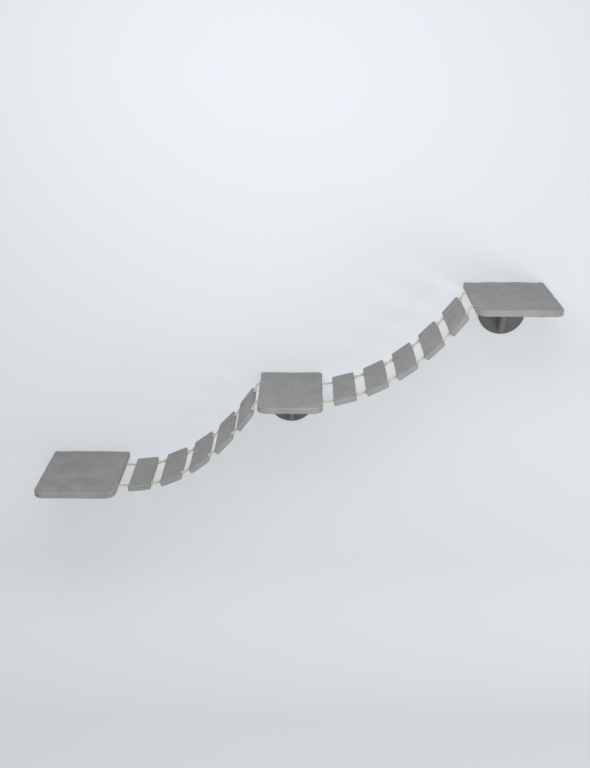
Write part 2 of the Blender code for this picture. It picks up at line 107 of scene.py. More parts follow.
def bump(tree, height, strength, distance, **inputs):
    """Relief as a normal. The distance is in metres."""
    return add(tree, "ShaderNodeBump", {"Height": height, "Strength": strength, "Distance": distance,
                                        **inputs}).outputs["Normal"]


def shade(tree, factor, stops):
    """A colour ramp from (place, hex colour) pairs."""
    ramp = add(tree, "ShaderNodeValToRGB", {"Fac": factor})
    elements = ramp.color_ramp.elements
    while len(elements) < len(stops):
        elements.new(0.5)
    for element, (place, hex_colour) in zip(elements, stops):
        element.position = place
        element.color = linear(hex_colour)
    return ramp.outputs["Color"]


def new_finish(name):
    """A material, its node tree and its main shader."""
    material = bpy.data.materials.new(name)
    material.use_nodes = True
    return material, material.node_tree, material.node_tree.nodes["Principled BSDF"]


print("white is", linear("FFFFFF"))

# %% [markdown]
# ## Where everything is
#
# The places come from the solids, so nothing here is fitted by eye. A slat's board is a flat box turned
# about y, so its largest face gives the tilt. The ropes run along the middle of every board, which makes the
# boards' middles the points that the ropes go through.

# %% Places from the solids
SIDES = ("left", "middle", "right")
LADDERS = ("lower", "upper")
SLATS = 5


def tilt_of(node):
    """How far a flat solid is turned about y, from its largest face."""
    largest = max(nodes[node].data.polygons, key=lambda face: face.area)
    normal = largest.normal if largest.normal.z > 0 else -largest.normal
    return math.atan2(-normal.x, normal.z)


def middle_of(node):
    low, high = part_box(node)
    return (low + high) / 2


ROPES_Y = [middle_of("lower_back_rope").y, middle_of("lower_front_rope").y]
slats = {}
for ladder in LADDERS:
    for number in range(1, SLATS + 1):
        name = f"{ladder}_slat_{number}"
        slats[name] = (middle_of(f"{name}_board"), tilt_of(f"{name}_board"))
        print(name, "tilted", round(math.degrees(slats[name][1]), 1), "degrees")

# %% [markdown]
# ## The camera
#
# The camera stands where the photographer's stood: 0.76 m above the upper platform, 2.9 m from the wall and
# looking down. Its place was worked out from the corners of the platforms and slats in the photograph. An
# untouched sensor is 36 mm on the frame's longer side, so the focal length in pixels gives the lens.

# %% Camera
FRAME_HEIGHT = 768                 # pixels, the longer side
FOCAL_PIXELS = 1078
CAMERA_AT = (0.0473, -2.873, 1.104)
CAMERA_DOWN = 20.22                # degrees
CAMERA_LEFT = 0.75                 # degrees

camera_data = bpy.data.cameras.new("camera")
camera_data.lens = FOCAL_PIXELS / FRAME_HEIGHT * camera_data.sensor_width
camera = bpy.data.objects.new("camera", camera_data)
camera.location = CAMERA_AT
camera.rotation_euler = (math.radians(90 - CAMERA_DOWN), 0, math.radians(CAMERA_LEFT))
scene.collection.objects.link(camera)
scene.camera = camera
print("lens", round(camera_data.lens, 1), "mm")

# %% [markdown]
# ## The studio
#
# The object hangs on a wall, so its stage is a wall that turns into a floor in one sweep, with no corner to
# draw a line behind the object. Only the camera sees the sweep: it stops no light from a lamp or from the
# air around, so the panel behind it shows the backs of the plates. Its material lets the eye through from
# behind, which keeps the backs open to view. Half of what the camera sees of it is plain colour and half is
# paint under the lamps, so the wall stays even and its shadows stay soft. Past its edges the camera sees the
# same plain colour, while the air lights the object with a plain soft grey.

# %% Studio
FLOOR_HEIGHT = -0.85
WALL_TOP = 2.6
WALL_BEHIND = 0.0006               # so that the plates' backs don't share its plane
SWEEP_RADIUS = 0.32
SWEEP_STEPS = 24
FLOOR_FRONT = -4.2
STUDIO_HALF = 4.0
PLAIN = 0.5                        # share of plain colour in the wall, for the camera only
PLAIN_COLOUR = "D9DEE3"
AIR_STRENGTH = 0.38
LAMPS = (                          # name, place, target, width, height, watts
    ("near key", (-0.1, -1.1, 1.2), (0.0, -0.12, 0.0), 1.5, 0.5, 12.5),
    ("wide panel", (0.6, -3.6, 0.5), (0.1, -0.1, -0.1), 3.4, 3.0, 42),
    ("low side light", (1.9, -1.3, -0.3), (0.4, -0.1, 0.15), 0.6, 0.6, 9),
    ("back panel", (-0.2, 3.2, 0.3), (0.0, 0.0, 0.0), 3.0, 2.4, 15),
)

profile = [(WALL_BEHIND, WALL_TOP)]
for step in range(SWEEP_STEPS + 1):
    angle = math.pi / 2 * step / SWEEP_STEPS
    profile.append((WALL_BEHIND - SWEEP_RADIUS * (1 - math.cos(angle)),
                    FLOOR_HEIGHT + SWEEP_RADIUS * (1 - math.sin(angle))))
profile.append((FLOOR_FRONT, FLOOR_HEIGHT))
corners = [(x, y, z) for y, z in profile for x in (-STUDIO_HALF, STUDIO_HALF)]
faces = [(2 * i + 1, 2 * i, 2 * i + 2, 2 * i + 3) for i in range(len(profile) - 1)]
sweep_mesh = bpy.data.meshes.new("studio_sweep")
sweep_mesh.from_pydata(corners, [], faces)
sweep_mesh.shade_smooth()
sweep = bpy.data.objects.new("studio_sweep", sweep_mesh)
scene.collection.objects.link(sweep)
sweep.visible_shadow = sweep.visible_diffuse = sweep.visible_glossy = sweep.visible_transmission = False

paint, tree, shader = new_finish("pale matt wall paint")
feed(tree, shader, {"Base Color": linear("E6ECF0"), "Roughness": 0.9, "Specular IOR Level": 0.1})
glow = add(tree, "ShaderNodeEmission", {"Color": linear(PLAIN_COLOUR), "Strength": 1.0})
share = calculate(tree, "MULTIPLY", add(tree, "ShaderNodeLightPath").outputs["Is Camera Ray"], PLAIN)
painted = add(tree, "ShaderNodeMixShader", {
    "Fac": share, 1: shader.outputs["BSDF"], 2: glow.outputs["Emission"]})
open_behind = add(tree, "ShaderNodeMixShader", {
    "Fac": add(tree, "ShaderNodeNewGeometry").outputs["Backfacing"],
    1: painted.outputs["Shader"],
    2: add(tree, "ShaderNodeBsdfTransparent").outputs["BSDF"],
})
feed(tree, tree.nodes["Material Output"], {"Surface": open_behind.outputs["Shader"]})
sweep_mesh.materials.append(paint)


def softbox(name, place, target, width, height, watts):
    light = bpy.data.lights.new(name, "AREA")
    light.shape = "RECTANGLE"
    light.size, light.size_y = width, height
    light.energy = watts
    lamp = bpy.data.objects.new(name, light)
    lamp.location = place
    lamp.rotation_euler = (Vector(target) - Vector(place)).to_track_quat("-Z", "Y").to_euler()
    lamp.visible_camera = False
    scene.collection.objects.link(lamp)


for lamp in LAMPS:
    softbox(*lamp)
world = bpy.data.worlds.new("studio air")
world.use_nodes = True
tree = world.node_tree
air = tree.nodes["Background"]
feed(tree, air, {"Color": linear("F6F7F8"), "Strength": AIR_STRENGTH})
backdrop = add(tree, "ShaderNodeBackground", {"Color": linear(PLAIN_COLOUR), "Strength": 1.0})
seen = add(tree, "ShaderNodeMixShader", {
    "Fac": add(tree, "ShaderNodeLightPath").outputs["Is Camera Ray"],
    1: air.outputs["Background"],
    2: backdrop.outputs["Background"],
})
feed(tree, tree.nodes["World Output"], {"Surface": seen.outputs["Shader"]})
scene.world = world
scene.view_settings.view_transform = "Standard"
print("studio sweep from the wall to a floor at", FLOOR_HEIGHT, "m, with", len(LAMPS), "lamps")

# %% [markdown]
# ## Short grey plush
#
# The covers are polyester plush with a pile of about a millimetre, brushed this way and that. Polyester has
# an IOR near 1.5, but a pile traps light, so it looks quite matt, with a pale halo at grazing angles: that
# halo is what the sheen is for. Four patterns lie over each other: broad patches where the nap has been
# brushed another way, short streaks along the nap, the tufts, 2 mm apart so that they show in a close view,
# and the fibres in them. Everything reads Object coordinates, so a cover and the wood that is wrapped in the
# same plush share one pattern.

# %% Plush
PATCH = 0.050                      # metres across a brushed patch
PATCH_RELIEF = 0.0015
STREAK = 0.0065
TUFT = 0.0021
FIBRES = 0.0007
PILE = 0.00045                     # depth of the tufts' relief
ALONG_NAP = 0.3                    # shrinks the pattern's y, which draws the streaks out 3.3 times


def plush_finish(name, dark, middle, light):
    """Short-pile polyester plush, brushed: matt, with a soft halo."""
    material, tree, shader = new_finish(name)
    place = add(tree, "ShaderNodeTexCoord").outputs["Object"]
    brushed = add(tree, "ShaderNodeMapping",
                  {"Vector": place, "Scale": (1.0, ALONG_NAP, 1.0)}).outputs["Vector"]
    patches = noise(tree, place, PATCH, Detail=2.0)
    streaks = noise(tree, brushed, STREAK)
    tufts = noise(tree, place, TUFT, Detail=1.0)
    fibres = noise(tree, place, FIBRES, Detail=1.0)
    nap = 0.0
    for pattern, share in ((patches, 0.30), (streaks, 0.14), (tufts, 0.32), (fibres, 0.24)):
        nap = calculate(tree, "MULTIPLY_ADD", pattern, share, nap)
    tufty = bump(tree, calculate(tree, "MULTIPLY_ADD", fibres, 0.45, tufts), 1.0, PILE)
    feed(tree, shader, {
        "Base Color": shade(tree, nap, ((0.36, dark), (0.5, middle), (0.64, light))),
        "Normal": bump(tree, patches, 0.4, PATCH_RELIEF, Normal=tufty),
        "Roughness": 0.92,
        "Specular IOR Level": 0.15,
        "Sheen Weight": 0.35,
        "Sheen Roughness": 0.40,
        "Sheen Tint": linear("E9E9E9"),
    })
    return material


plush = plush_finish("short grey polyester plush", "8B8B8B", "999999", "A7A7A7")
# The plates wear the same plush as the platforms; this copy is painted darker, as painted shade under the
# platforms.
shaded_plate_plush = plush_finish("grey plush glued over wood", "656667", "727374", "7F8081")
# The ribs' copy is painted darker than the platforms' plush as painted shade, and lighter than the plates' as
# painted light.
rib_shade_and_light_plush = plush_finish("grey plush wrapped round a rib, nap up", "737475", "808182", "8D8E8F")
print("tufts", TUFT * 1000, "mm apart")

# %% [markdown]
# ## Birch plywood
#
# The boards are 12 mm birch plywood. Underneath, each cover leaves a window where the rotary-cut face shows:
# pale, with long wavy figure and fine dark flecks. Where a hole is cut through the board, its wall shows the
# plies, dark and light in turn, so the bands are used only where the surface doesn't face up or down.

# %% Plywood
PLY = 0.0024                       # thickness of one ply
FIGURE = 0.030                     # between two waves of the grain
FLECK = 0.0016
ALONG_GRAIN = 0.12                 # draws the grain out 8 times along y, in the same way
GRAIN_RELIEF = 0.0003
FACE_FROM = 0.35                   # a surface that faces up or down more than this shows a face

plywood, tree, shader = new_finish("birch plywood")
coordinates = add(tree, "ShaderNodeTexCoord").outputs
drawn_out = add(tree, "ShaderNodeMapping",
                {"Vector": coordinates["Object"], "Scale": (1.0, ALONG_GRAIN, 1.0)})
figure = noise(tree, drawn_out.outputs["Vector"], FIGURE, Detail=5.0, Roughness=0.55, Distortion=0.6)
flecks = noise(tree, drawn_out.outputs["Vector"], FLECK, Detail=2.0, Roughness=0.5)
grain = calculate(tree, "MULTIPLY_ADD", flecks, 0.28, calculate(tree, "MULTIPLY", figure, 0.72))
face_colour = shade(tree, grain, ((0.34, "A98458"), (0.48, "C9AA7C"), (0.62, "D8BE95")))
height = add(tree, "ShaderNodeSeparateXYZ", {"Vector": coordinates["Object"]}).outputs["Z"]
plies = calculate(tree, "SINE", calculate(tree, "MULTIPLY", height, math.pi / PLY))
edge_colour = shade(tree, calculate(tree, "MULTIPLY_ADD", plies, 0.5, 0.5),
                    ((0.30, "8A6338"), (0.55, "BF9C6B"), (0.80, "D0B184")))
facing = add(tree, "ShaderNodeSeparateXYZ", {"Vector": coordinates["Normal"]}).outputs["Z"]
is_face = calculate(tree, "GREATER_THAN", calculate(tree, "ABSOLUTE", facing), FACE_FROM)
# A Mix node has sockets for each kind of data: 6 and 7 take the colours, and 2 gives the mixed one.
mixed = add(tree, "ShaderNodeMix", {0: is_face, 6: edge_colour, 7: face_colour}, data_type="RGBA")
feed(tree, shader, {"Base Color": mixed.outputs[2], "Normal": bump(tree, grain, 0.35, GRAIN_RELIEF),
                    "Roughness": 0.62})
print("plies", PLY * 1000, "mm thick")

# %% [markdown]
# ## Zinc-plated steel
#
# The screws and staples are steel under a thin bright coat of zinc. It is a metal with a faint blue cast and
# a roughness near 0.3, cloudier in patches where the coat is thicker. A metal keeps the default IOR.

# %% Zinc
CLOUD = 0.003

zinc, tree, shader = new_finish("zinc-plated steel")
clouds = noise(tree, add(tree, "ShaderNodeTexCoord").outputs["Object"], CLOUD, Detail=3.0)
gloss = add(tree, "ShaderNodeMapRange", {"Value": clouds, "To Min": 0.24, "To Max": 0.42})
feed(tree, shader, {
    "Base Color": shade(tree, clouds, ((0.3, "A9ACB0"), (0.5, "BDC0C3"), (0.7, "CBCDD0"))),
    "Roughness": gloss.outputs["Result"],
    "Metallic": 1.0,
})
print("zinc clouds", CLOUD * 1000, "mm across")

# %% [markdown]
# ## Cream cotton rope
#
# Each strand of the rope is itself twisted from yarns, which show as slanting lines round it. The rope's mesh
# carries an attribute called lay: the cosine and sine of the angle round the strand, and the distance along
# it. The angle is worked out again from the first two, so the pattern has no seam, and it follows the strand
# through every bend. Cotton is matt, and the grooves between the yarns are painted darker than the crowns, as
# painted shade.

# %% Cotton
YARNS = 7                          # round a strand
YARN_TURN = 0.0085                 # metres along a strand in which a yarn goes round once
YARN_RELIEF = 0.0003
FIBRE = 0.0006

cotton, tree, shader = new_finish("twisted cream cotton")
lay = add(tree, "ShaderNodeAttribute", attribute_name="lay").outputs["Vector"]
part = add(tree, "ShaderNodeSeparateXYZ", {"Vector": lay}).outputs
turned = calculate(tree, "ADD", calculate(tree, "ARCTAN2", part["Y"], part["X"]),
                   calculate(tree, "MULTIPLY", part["Z"], 2 * math.pi / YARN_TURN))
yarns = calculate(tree, "SINE", calculate(tree, "MULTIPLY", turned, float(YARNS)))
yarns = calculate(tree, "MULTIPLY_ADD", yarns, 0.5, 0.5)
fuzz = noise(tree, add(tree, "ShaderNodeTexCoord").outputs["Object"], FIBRE, Detail=2.0)
# The grooves between the yarns get the darkest colour, as painted shade; the same pattern gives the yarns'
# relief.
yarn_shade_and_relief = calculate(tree, "MULTIPLY_ADD", fuzz, 0.4, calculate(tree, "MULTIPLY", yarns, 0.6))
feed(tree, shader, {
    "Base Color": shade(tree, yarn_shade_and_relief, ((0.15, "B2AA90"), (0.45, "D6CFBA"), (0.75, "EAE5D5"))),
    "Normal": bump(tree, yarn_shade_and_relief, 0.9, YARN_RELIEF),
    "Roughness": 0.88,
    "Specular IOR Level": 0.2,
    "Sheen Weight": 0.25,
    "Sheen Roughness": 0.5,
})
print(YARNS, "yarns round a strand")

# %% [markdown]
# ## A padded cover as a mesh
#
# A cover is plush over thin foam, laid over the top and sides of a board and turned under it as a hem, with a
# window left in the middle of the underside. It could be carved from a block, but then its points would lie
# anywhere. Here it is a net: a plain grid in the middle of the top, then rings that run outwards to the
# edge, over it, down the sides, under the board and back up inside. Every cell is about as long as it
# is wide, which is what cloth needs.


# %% The net of a cover
HOLLOW_RINGS = 3                   # the first rings line the hollow
HEM_RINGS = (2, 3, 4)              # these follow the hem's cut edge
RAGGED = 0.0006                    # how far the cut edge wanders
RING_STEP = 0.004                  # between two rings on the top and on the hem
SIDE_RINGS = 4                     # up the side, and as many again over the rounded upper edge


def closed_mesh(name, points, faces):
    """A closed mesh whose faces all look outwards."""
    mesh = bpy.data.meshes.new(name)
    mesh.from_pydata(points, [], faces)
    shape = bmesh.new()
    shape.from_mesh(mesh)
    bmesh.ops.recalc_face_normals(shape, faces=shape.faces)
    shape.to_mesh(mesh)
    shape.free()
    return mesh


class Pad:
    """One cover. Its back edge is on y = 0, its underside on z = 0 and its middle on x = 0.

    The radii are those of the front and the back corners, side and hem are the cloth's thickness beside
    and under the board, and ceiling is the height of the board's top. The upper edge is rounded by edge,
    and the middle grid begins core inside the outline.
    """

    def __init__(self, width, depth, radii, ceiling, height, side, hem, hem_width, edge, crown, core, cell,
                 corner_cells):
        self.width, self.depth, self.radii, self.ceiling, self.height = width, depth, radii, ceiling, height
        self.side, self.hem, self.hem_width = side, hem, hem_width
        self.edge, self.crown, self.core, self.corner_cells = edge, crown, core, corner_cells
        self.cells = (round((width - 2 * core) / cell), round((depth - 2 * core) / cell))

    def corners(self, inset):
        """Corners counter-clockwise from the back right one, each with its radius."""
        front, back = self.radii
        half = self.width / 2 - inset
        return [((half, -inset), back), ((-half, -inset), back),
                ((-half, inset - self.depth), front), ((half, inset - self.depth), front)]

    def outline(self):
        """The outer edge seen from above, with as many points as the middle grid has round it."""
        points = []
        corners = self.corners(0.0)
        turn = self.corner_cells
        for k in range(4):
            (a, radius_a), (b, radius_b) = corners[k], corners[(k + 1) % 4]
            a, b = np.array(a), np.array(b)
            ahead = (b - a) / np.linalg.norm(b - a)
            outward = np.array([ahead[1], -ahead[0]])
            count = self.cells[k % 2]
            for i in range(count):
                if i < turn:
                    angle = math.pi / 4 * (1 - i / turn)
                    middle = a + radius_a * (ahead - outward)
                    spoke = math.cos(angle) * outward - math.sin(angle) * ahead
                    points.append(middle + radius_a * spoke)
                elif i <= count - turn:
                    share = (i - turn) / (count - 2 * turn)
                    points.append((a + radius_a * ahead) * (1 - share) + (b - radius_b * ahead) * share)
                else:
                    angle = math.pi / 4 * (i - count + turn) / turn
                    middle = b - radius_b * (ahead + outward)
                    spoke = math.cos(angle) * outward + math.sin(angle) * ahead
                    points.append(middle + radius_b * spoke)
        return np.array(points)

    def middle_edge(self):
        """The edge of the middle grid, point for point with the outline."""
        points = []
        corners = [np.array(corner) for corner, _ in self.corners(self.core)]
        for k in range(4):
            a, b = corners[k], corners[(k + 1) % 4]
            count = self.cells[k % 2]
            points += [a + (b - a) * i / count for i in range(count)]
        return np.array(points)

    def profile(self):
        """(inset, height) from the hollow's ceiling, out under the board and over the edge to the middle."""
        path = [(self.side, self.ceiling), (self.side, self.hem), (self.hem_width, self.hem),
                (self.hem_width + self.hem * 0.25, self.hem * 0.5), (self.hem_width, 0.0)]
        steps = max(3, round(self.hem_width / RING_STEP))
        path += [(self.hem_width * (1 - i / steps) + self.hem * i / steps, 0.0) for i in range(1, steps + 1)]
        fold = self.hem * 1.2
        path += [(fold * (1 - math.sin(a)), fold * (1 - math.cos(a))) for a in (math.pi / 4, math.pi / 2)]
        path += [(0.0, float(z)) for z in np.linspace(fold, self.height - self.edge, SIDE_RINGS + 1)[1:]]
        path += [(self.edge * (1 - math.cos(a)), self.height - self.edge * (1 - math.sin(a)))
                 for a in np.linspace(0, math.pi / 2, SIDE_RINGS + 1)[1:]]
        steps = max(3, round((self.core - self.edge) / RING_STEP))
        path += [(self.edge + (self.core - self.edge) * i / steps, self.height) for i in range(1, steps + 1)]
        return path

    def mesh(self, name):
        """The closed net. Its first ring is the hollow's ceiling and its last is the middle grid's edge."""
        outer, inner = self.outline(), self.middle_edge()
        rings = []
        steps = np.arange(len(outer))
        ragged = RAGGED * (np.sin(steps * 0.9) + np.sin(steps * 0.37 + 1) + np.sin(steps * 0.23 + 4)) / 2
        for level, (inset, z) in enumerate(self.profile()):
            share = (inset + (ragged if level in HEM_RINGS else 0.0)) / self.core
            share = np.broadcast_to(share, len(outer))[:, None]
            ring = outer * (1 - share) + inner * share
            rings.append(np.column_stack([ring, np.full(len(ring), z)]))
        count = len(outer)
        points = np.concatenate(rings)
        cells_x, cells_y = self.cells
        last = len(points) - count
        index = np.zeros((cells_x + 1, cells_y + 1), int)      # of each point of the middle grid
        rim = [(cells_x - i, cells_y) for i in range(cells_x)] + [(0, cells_y - j) for j in range(cells_y)]
        rim += [(i, 0) for i in range(cells_x)] + [(cells_x, j) for j in range(cells_y)]
        for n, (i, j) in enumerate(rim):
            index[i, j] = last + n
        inside = []
        for i in range(1, cells_x):
            for j in range(1, cells_y):
                index[i, j] = len(points) + len(inside)
                inside.append(((self.width / 2 - self.core) * (2 * i / cells_x - 1),
                               -self.depth + self.core + (self.depth - 2 * self.core) * j / cells_y,
                               self.height))
        faces = [tuple(range(count))]
        for low in range(0, last, count):
            for i in range(count):
                j = (i + 1) % count
                faces.append((low + i, low + j, low + count + j, low + count + i))
        for i in range(cells_x):
            for j in range(cells_y):
                faces.append((index[i, j], index[i + 1, j], index[i + 1, j + 1], index[i, j + 1]))
        mesh = closed_mesh(name, np.concatenate([points, inside]).tolist(),
                           [tuple(map(int, face)) for face in faces])
        ends = np.zeros(len(mesh.edges) * 2, np.int32)
        mesh.edges.foreach_get("vertices", ends)
        a, b = (ends.reshape(-1, 2) // count).T
        crease = ((a == b) & (a < HOLLOW_RINGS)).astype(np.float32)
        mesh.attributes.new("crease_edge", "FLOAT", "EDGE").data.foreach_set("value", crease)
        hollow = (np.arange(len(mesh.vertices)) < count * HOLLOW_RINGS).astype(np.float32)
        mesh.attributes.new("hollow", "FLOAT", "POINT").data.foreach_set("value", hollow)
        return mesh


print("a cover is one net of near-square cells")

# %% [markdown]
# ## Crown and settling
#
# Foam under a tight cover stands highest in the middle, so the top gets a low crown first. Then the plush is
# run as cloth for twenty frames: it is held where it is stapled and glued, the foam holds the rest loosely
# in place, and a little pressure stands for the springy pile and foam. No point may end up further than
# a set distance from where it started, so the pad stays the size of its solid.

# %% Settling
SETTLE_FRAMES = 20
FOAM_HOLD = 0.06                   # how firmly the foam keeps the plush in place, where 1 is fixed
LOOSE = 0.012                      # how much larger than its board the plush was cut, which lets it ripple
STAPLED = 1.3                      # the plush is held below this many thicknesses of the hem
CROWN_FLAT = 1.6                   # the crown is at its height from 1 / 1.6 of the way in
CROWN_FROM = 0.9                   # it lifts what is this share of the edge's rounding below the top


def points_of(mesh):
    flat = np.zeros(len(mesh.vertices) * 3, np.float32)
    mesh.vertices.foreach_get("co", flat)
    return flat.reshape(-1, 3).astype(float)


def set_points(mesh, points):
    mesh.vertices.foreach_set("co", points.astype(np.float32).ravel())
    mesh.update()


def in_hollow(pad, points):
    """Which of the net's points line the hollow. They come first."""
    return np.arange(len(points)) < len(pad.outline()) * HOLLOW_RINGS


def crowned(pad, points):
    """Lifts the top to its crown, highest in the middle and level at the edge."""
    across = np.clip(1 - np.abs(points[:, 0]) / (pad.width / 2), 0, 1)
    back = np.clip(1 - np.abs(points[:, 1] + pad.depth / 2) / (pad.depth / 2), 0, 1)
    rise = (np.sin(np.minimum(across * CROWN_FLAT, 1) * math.pi / 2)
            * np.sin(np.minimum(back * CROWN_FLAT, 1) * math.pi / 2))
    top = points[:, 2] > pad.height - pad.edge * CROWN_FROM
    points[:, 2] += np.where(top & ~in_hollow(pad, points), rise * pad.crown, 0)
    return points


def settle(pad, mesh, pressure, most):
    """Runs the plush as cloth and moves the mesh's points where it settles, none further than most."""
    start = points_of(mesh)
    scene.frame_set(1)
    item = bpy.data.objects.new("settling", mesh.copy())
    scene.collection.objects.link(item)
    held = item.vertex_groups.new(name="held")
    fixed = (start[:, 2] < pad.hem * STAPLED) | in_hollow(pad, start)
    held.add(np.flatnonzero(fixed).tolist(), 1.0, "REPLACE")
    held.add(np.flatnonzero(~fixed).tolist(), FOAM_HOLD, "REPLACE")
    cloth = item.modifiers.new("plush", "CLOTH")
    cloth.settings.quality = 6
    cloth.settings.mass = 0.2
    cloth.settings.tension_stiffness = 12
    cloth.settings.compression_stiffness = 12
    cloth.settings.shear_stiffness = 4
    cloth.settings.bending_stiffness = 0.4
    cloth.settings.vertex_group_mass = "held"
    cloth.settings.use_pressure = True
    cloth.settings.uniform_pressure_force = pressure
    cloth.settings.shrink_min = -LOOSE
    cloth.settings.effector_weights.gravity = 0
    cloth.collision_settings.use_collision = False
    for number in range(1, SETTLE_FRAMES + 1):
        scene.frame_set(number)
    settled = bpy.data.meshes.new_from_object(item.evaluated_get(bpy.context.evaluated_depsgraph_get()))
    moves = points_of(settled) - start
    reach = np.maximum(np.linalg.norm(moves, axis=1), 1e-9)
    moves *= (most * np.tanh(reach / most) / reach)[:, None]
    print(f"settled {mesh.name}: up to {reach.max() * 1000:.1f} mm, kept within {most * 1000:.1f} mm")
    set_points(mesh, start + moves)
    bpy.data.objects.remove(item, do_unlink=True)
    bpy.data.meshes.remove(settled)
    scene.frame_set(1)


print("cloth runs for", SETTLE_FRAMES, "frames")

# %% [markdown]
# ## Marks of handling
#
# Simulated plush is too even, so each kind of mark is a function of the place on the cover: gathers where it
# is pulled round the corners underneath, a dent where a rope goes in, ripples where it was left loose, a
# crease where it was folded in its box, and the slow unevenness of hand-cut foam. Each pushes the points
# along their normals: most by a fraction of a millimetre, the deepest fold by 2.4 mm.


# %% Marks
UNEVEN_WAVES = 6
PLEAT_FADE = 0.5                   # radians from a corner's diagonal in which the pleats fade
PLEAT_CENTRE = 1.3                 # hem widths from the corner to where its pleats point
PLEAT_AT = 1.4                     # and from there to where their spacing is measured
PLEAT_GROWS = 0.003                # beyond the fold under the board's edge
PLEAT_ENDS = 0.004                 # before the hem's cut edge
RIPPLE_FADE = 0.32                 # share of a ripple's length in which it fades
WAVERS = 1.3                       # how often a ripple wavers along its length


def bell(distance, width):
    return np.exp(-(distance / width) ** 2)


def normals_of(mesh):
    flat = np.zeros(len(mesh.vertices) * 3, np.float32)
    mesh.vertex_normals.foreach_get("vector", flat)
    return flat.reshape(-1, 3).astype(float)


def uneven(points, seed, size, depth):
    """Slow bumps: a few waves in fixed random directions."""
    random = np.random.default_rng(seed)
    lift = np.zeros(len(points))
    for _ in range(UNEVEN_WAVES):
        direction = random.normal(size=3)
        direction /= np.linalg.norm(direction)
        length = size * random.uniform(0.6, 1.5)
        lift += np.sin(points @ direction * 2 * math.pi / length + random.uniform(0, 6.3))
    return lift / UNEVEN_WAVES * 2 * depth


def inset_of(pad, points):
    """How far inside the cover's outline each point is, seen from above."""
    front, back = pad.radii
    radius = np.where(points[:, 1] < -pad.depth / 2, front, back)
    out = np.column_stack([np.abs(points[:, 0]) - (pad.width / 2 - radius),
                           np.abs(points[:, 1] + pad.depth / 2) - (pad.depth / 2 - radius)])
    return radius - np.linalg.norm(np.maximum(out, 0), axis=1) - np.minimum(out.max(axis=1), 0)


def gathers(pad, points, depth=0.0012, spacing=0.0085):
    """Pleats on the underside that point at each corner's middle."""
    lift = np.zeros(len(points))
    for (x, y), radius in pad.corners(0.0):
        reach = max(radius, pad.hem_width) * PLEAT_CENTRE
        middle = np.array([x - math.copysign(reach, x), y + (reach if y < -pad.depth / 2 else -reach)])
        away = points[:, :2] - middle
        angle = np.arctan2(away[:, 1], away[:, 0])
        corner_angle = math.atan2(y - middle[1], x - middle[0])
        off = np.abs((angle - corner_angle + math.pi) % (2 * math.pi) - math.pi)
        lift += np.sin(angle * reach * PLEAT_AT / spacing * 2 * math.pi) * bell(off, PLEAT_FADE)
    inset = inset_of(pad, points)
    swell = (np.clip((inset - pad.hem * 2) / PLEAT_GROWS, 0, 1)
             * np.clip((pad.hem_width * 1.05 - inset) / PLEAT_ENDS, 0, 1))
    return lift * swell * (points[:, 2] < pad.hem * 0.5) * depth


def dent(points, at, width, depth):
    """A round dent at a place."""
    return -depth * bell(np.linalg.norm(points - np.array(at), axis=1), width)


def ripples(points, start, end, spacing, depth, waver=0.0):
    """Two or three waves side by side that run from start to end and fade out at both."""
    start, end = np.array(start), np.array(end)
    run = end - start
    length = np.linalg.norm(run)
    along = (points - start) @ run / length ** 2
    aside = np.cross(run / length, points - start) @ np.array([0, 0, 1.0])
    aside = aside + waver * np.sin(along * 2 * math.pi * WAVERS)
    return (depth * np.cos(aside / spacing * 2 * math.pi)
            * bell(aside, spacing) * bell(along - 0.5, RIPPLE_FADE))


print("marks: unevenness, gathers, dents and ripples")

# %% [markdown]
# ## Finishing a piece
#
# A finished piece sits at the origin with its place in its mesh. A soft one begins as a net: a subdivision
# rounds it, the marks push it in and out, and the rope holes are cut with round cutters. Then the piece is
# tied to its body and stands in for its plain solid.

# %% Helpers for pieces
HOLE_SIDES = 32
OUTSIDE = 0.4                      # a point that is less hollow than this is on the outside


def object_of(mesh, material=None):
    item = bpy.data.objects.new(mesh.name, mesh)
    scene.collection.objects.link(item)
    if material:
        mesh.materials.clear()
        mesh.materials.append(material)
    return item


def baked(item, name):
    """The item's evaluated mesh under a new name. The item goes."""
    mesh = bpy.data.meshes.new_from_object(item.evaluated_get(bpy.context.evaluated_depsgraph_get()))
    bpy.data.objects.remove(item, do_unlink=True)
    mesh.name = name
    return mesh


def rod(radius, start, end, sides=HOLE_SIDES):
    """A closed cylinder from start to end."""
    start, end = Vector(start), Vector(end)
    shape = bmesh.new()
    turn = (end - start).to_track_quat("Z", "Y").to_matrix().to_4x4()
    bmesh.ops.create_cone(shape, cap_ends=True, segments=sides, radius1=radius, radius2=radius,
                          depth=(end - start).length, matrix=Matrix.Translation((start + end) / 2) @ turn)
    mesh = bpy.data.meshes.new("rod")
    shape.to_mesh(mesh)
    shape.free()
    return mesh


def drilled(mesh, cutters, name):
    """The mesh without what the cutters take, which don't meet each other, under a new name."""
    shape = bmesh.new()
    for cutter in cutters:
        shape.from_mesh(cutter)
        bpy.data.meshes.remove(cutter)
    joined = bpy.data.meshes.new("cutter")
    shape.to_mesh(joined)
    shape.free()
    item, tool = object_of(mesh), object_of(joined)
    holes = item.modifiers.new("holes", "BOOLEAN")
    holes.operation = "DIFFERENCE"
    holes.solver = "EXACT"
    holes.object = tool
    left = baked(item, name)
    bpy.data.objects.remove(tool, do_unlink=True)
    return left


def smoothed(mesh, sharp):
    """Shades a mesh smooth, but for edges that turn by more than this many degrees."""
    mesh.shade_smooth()
    mesh.set_sharp_from_angle(angle=math.radians(sharp))
    return mesh


def subdivided(mesh):
    item = object_of(mesh)
    rounder = item.modifiers.new("rounder", "SUBSURF")
    rounder.levels = rounder.render_levels = 1
    return baked(item, mesh.name)


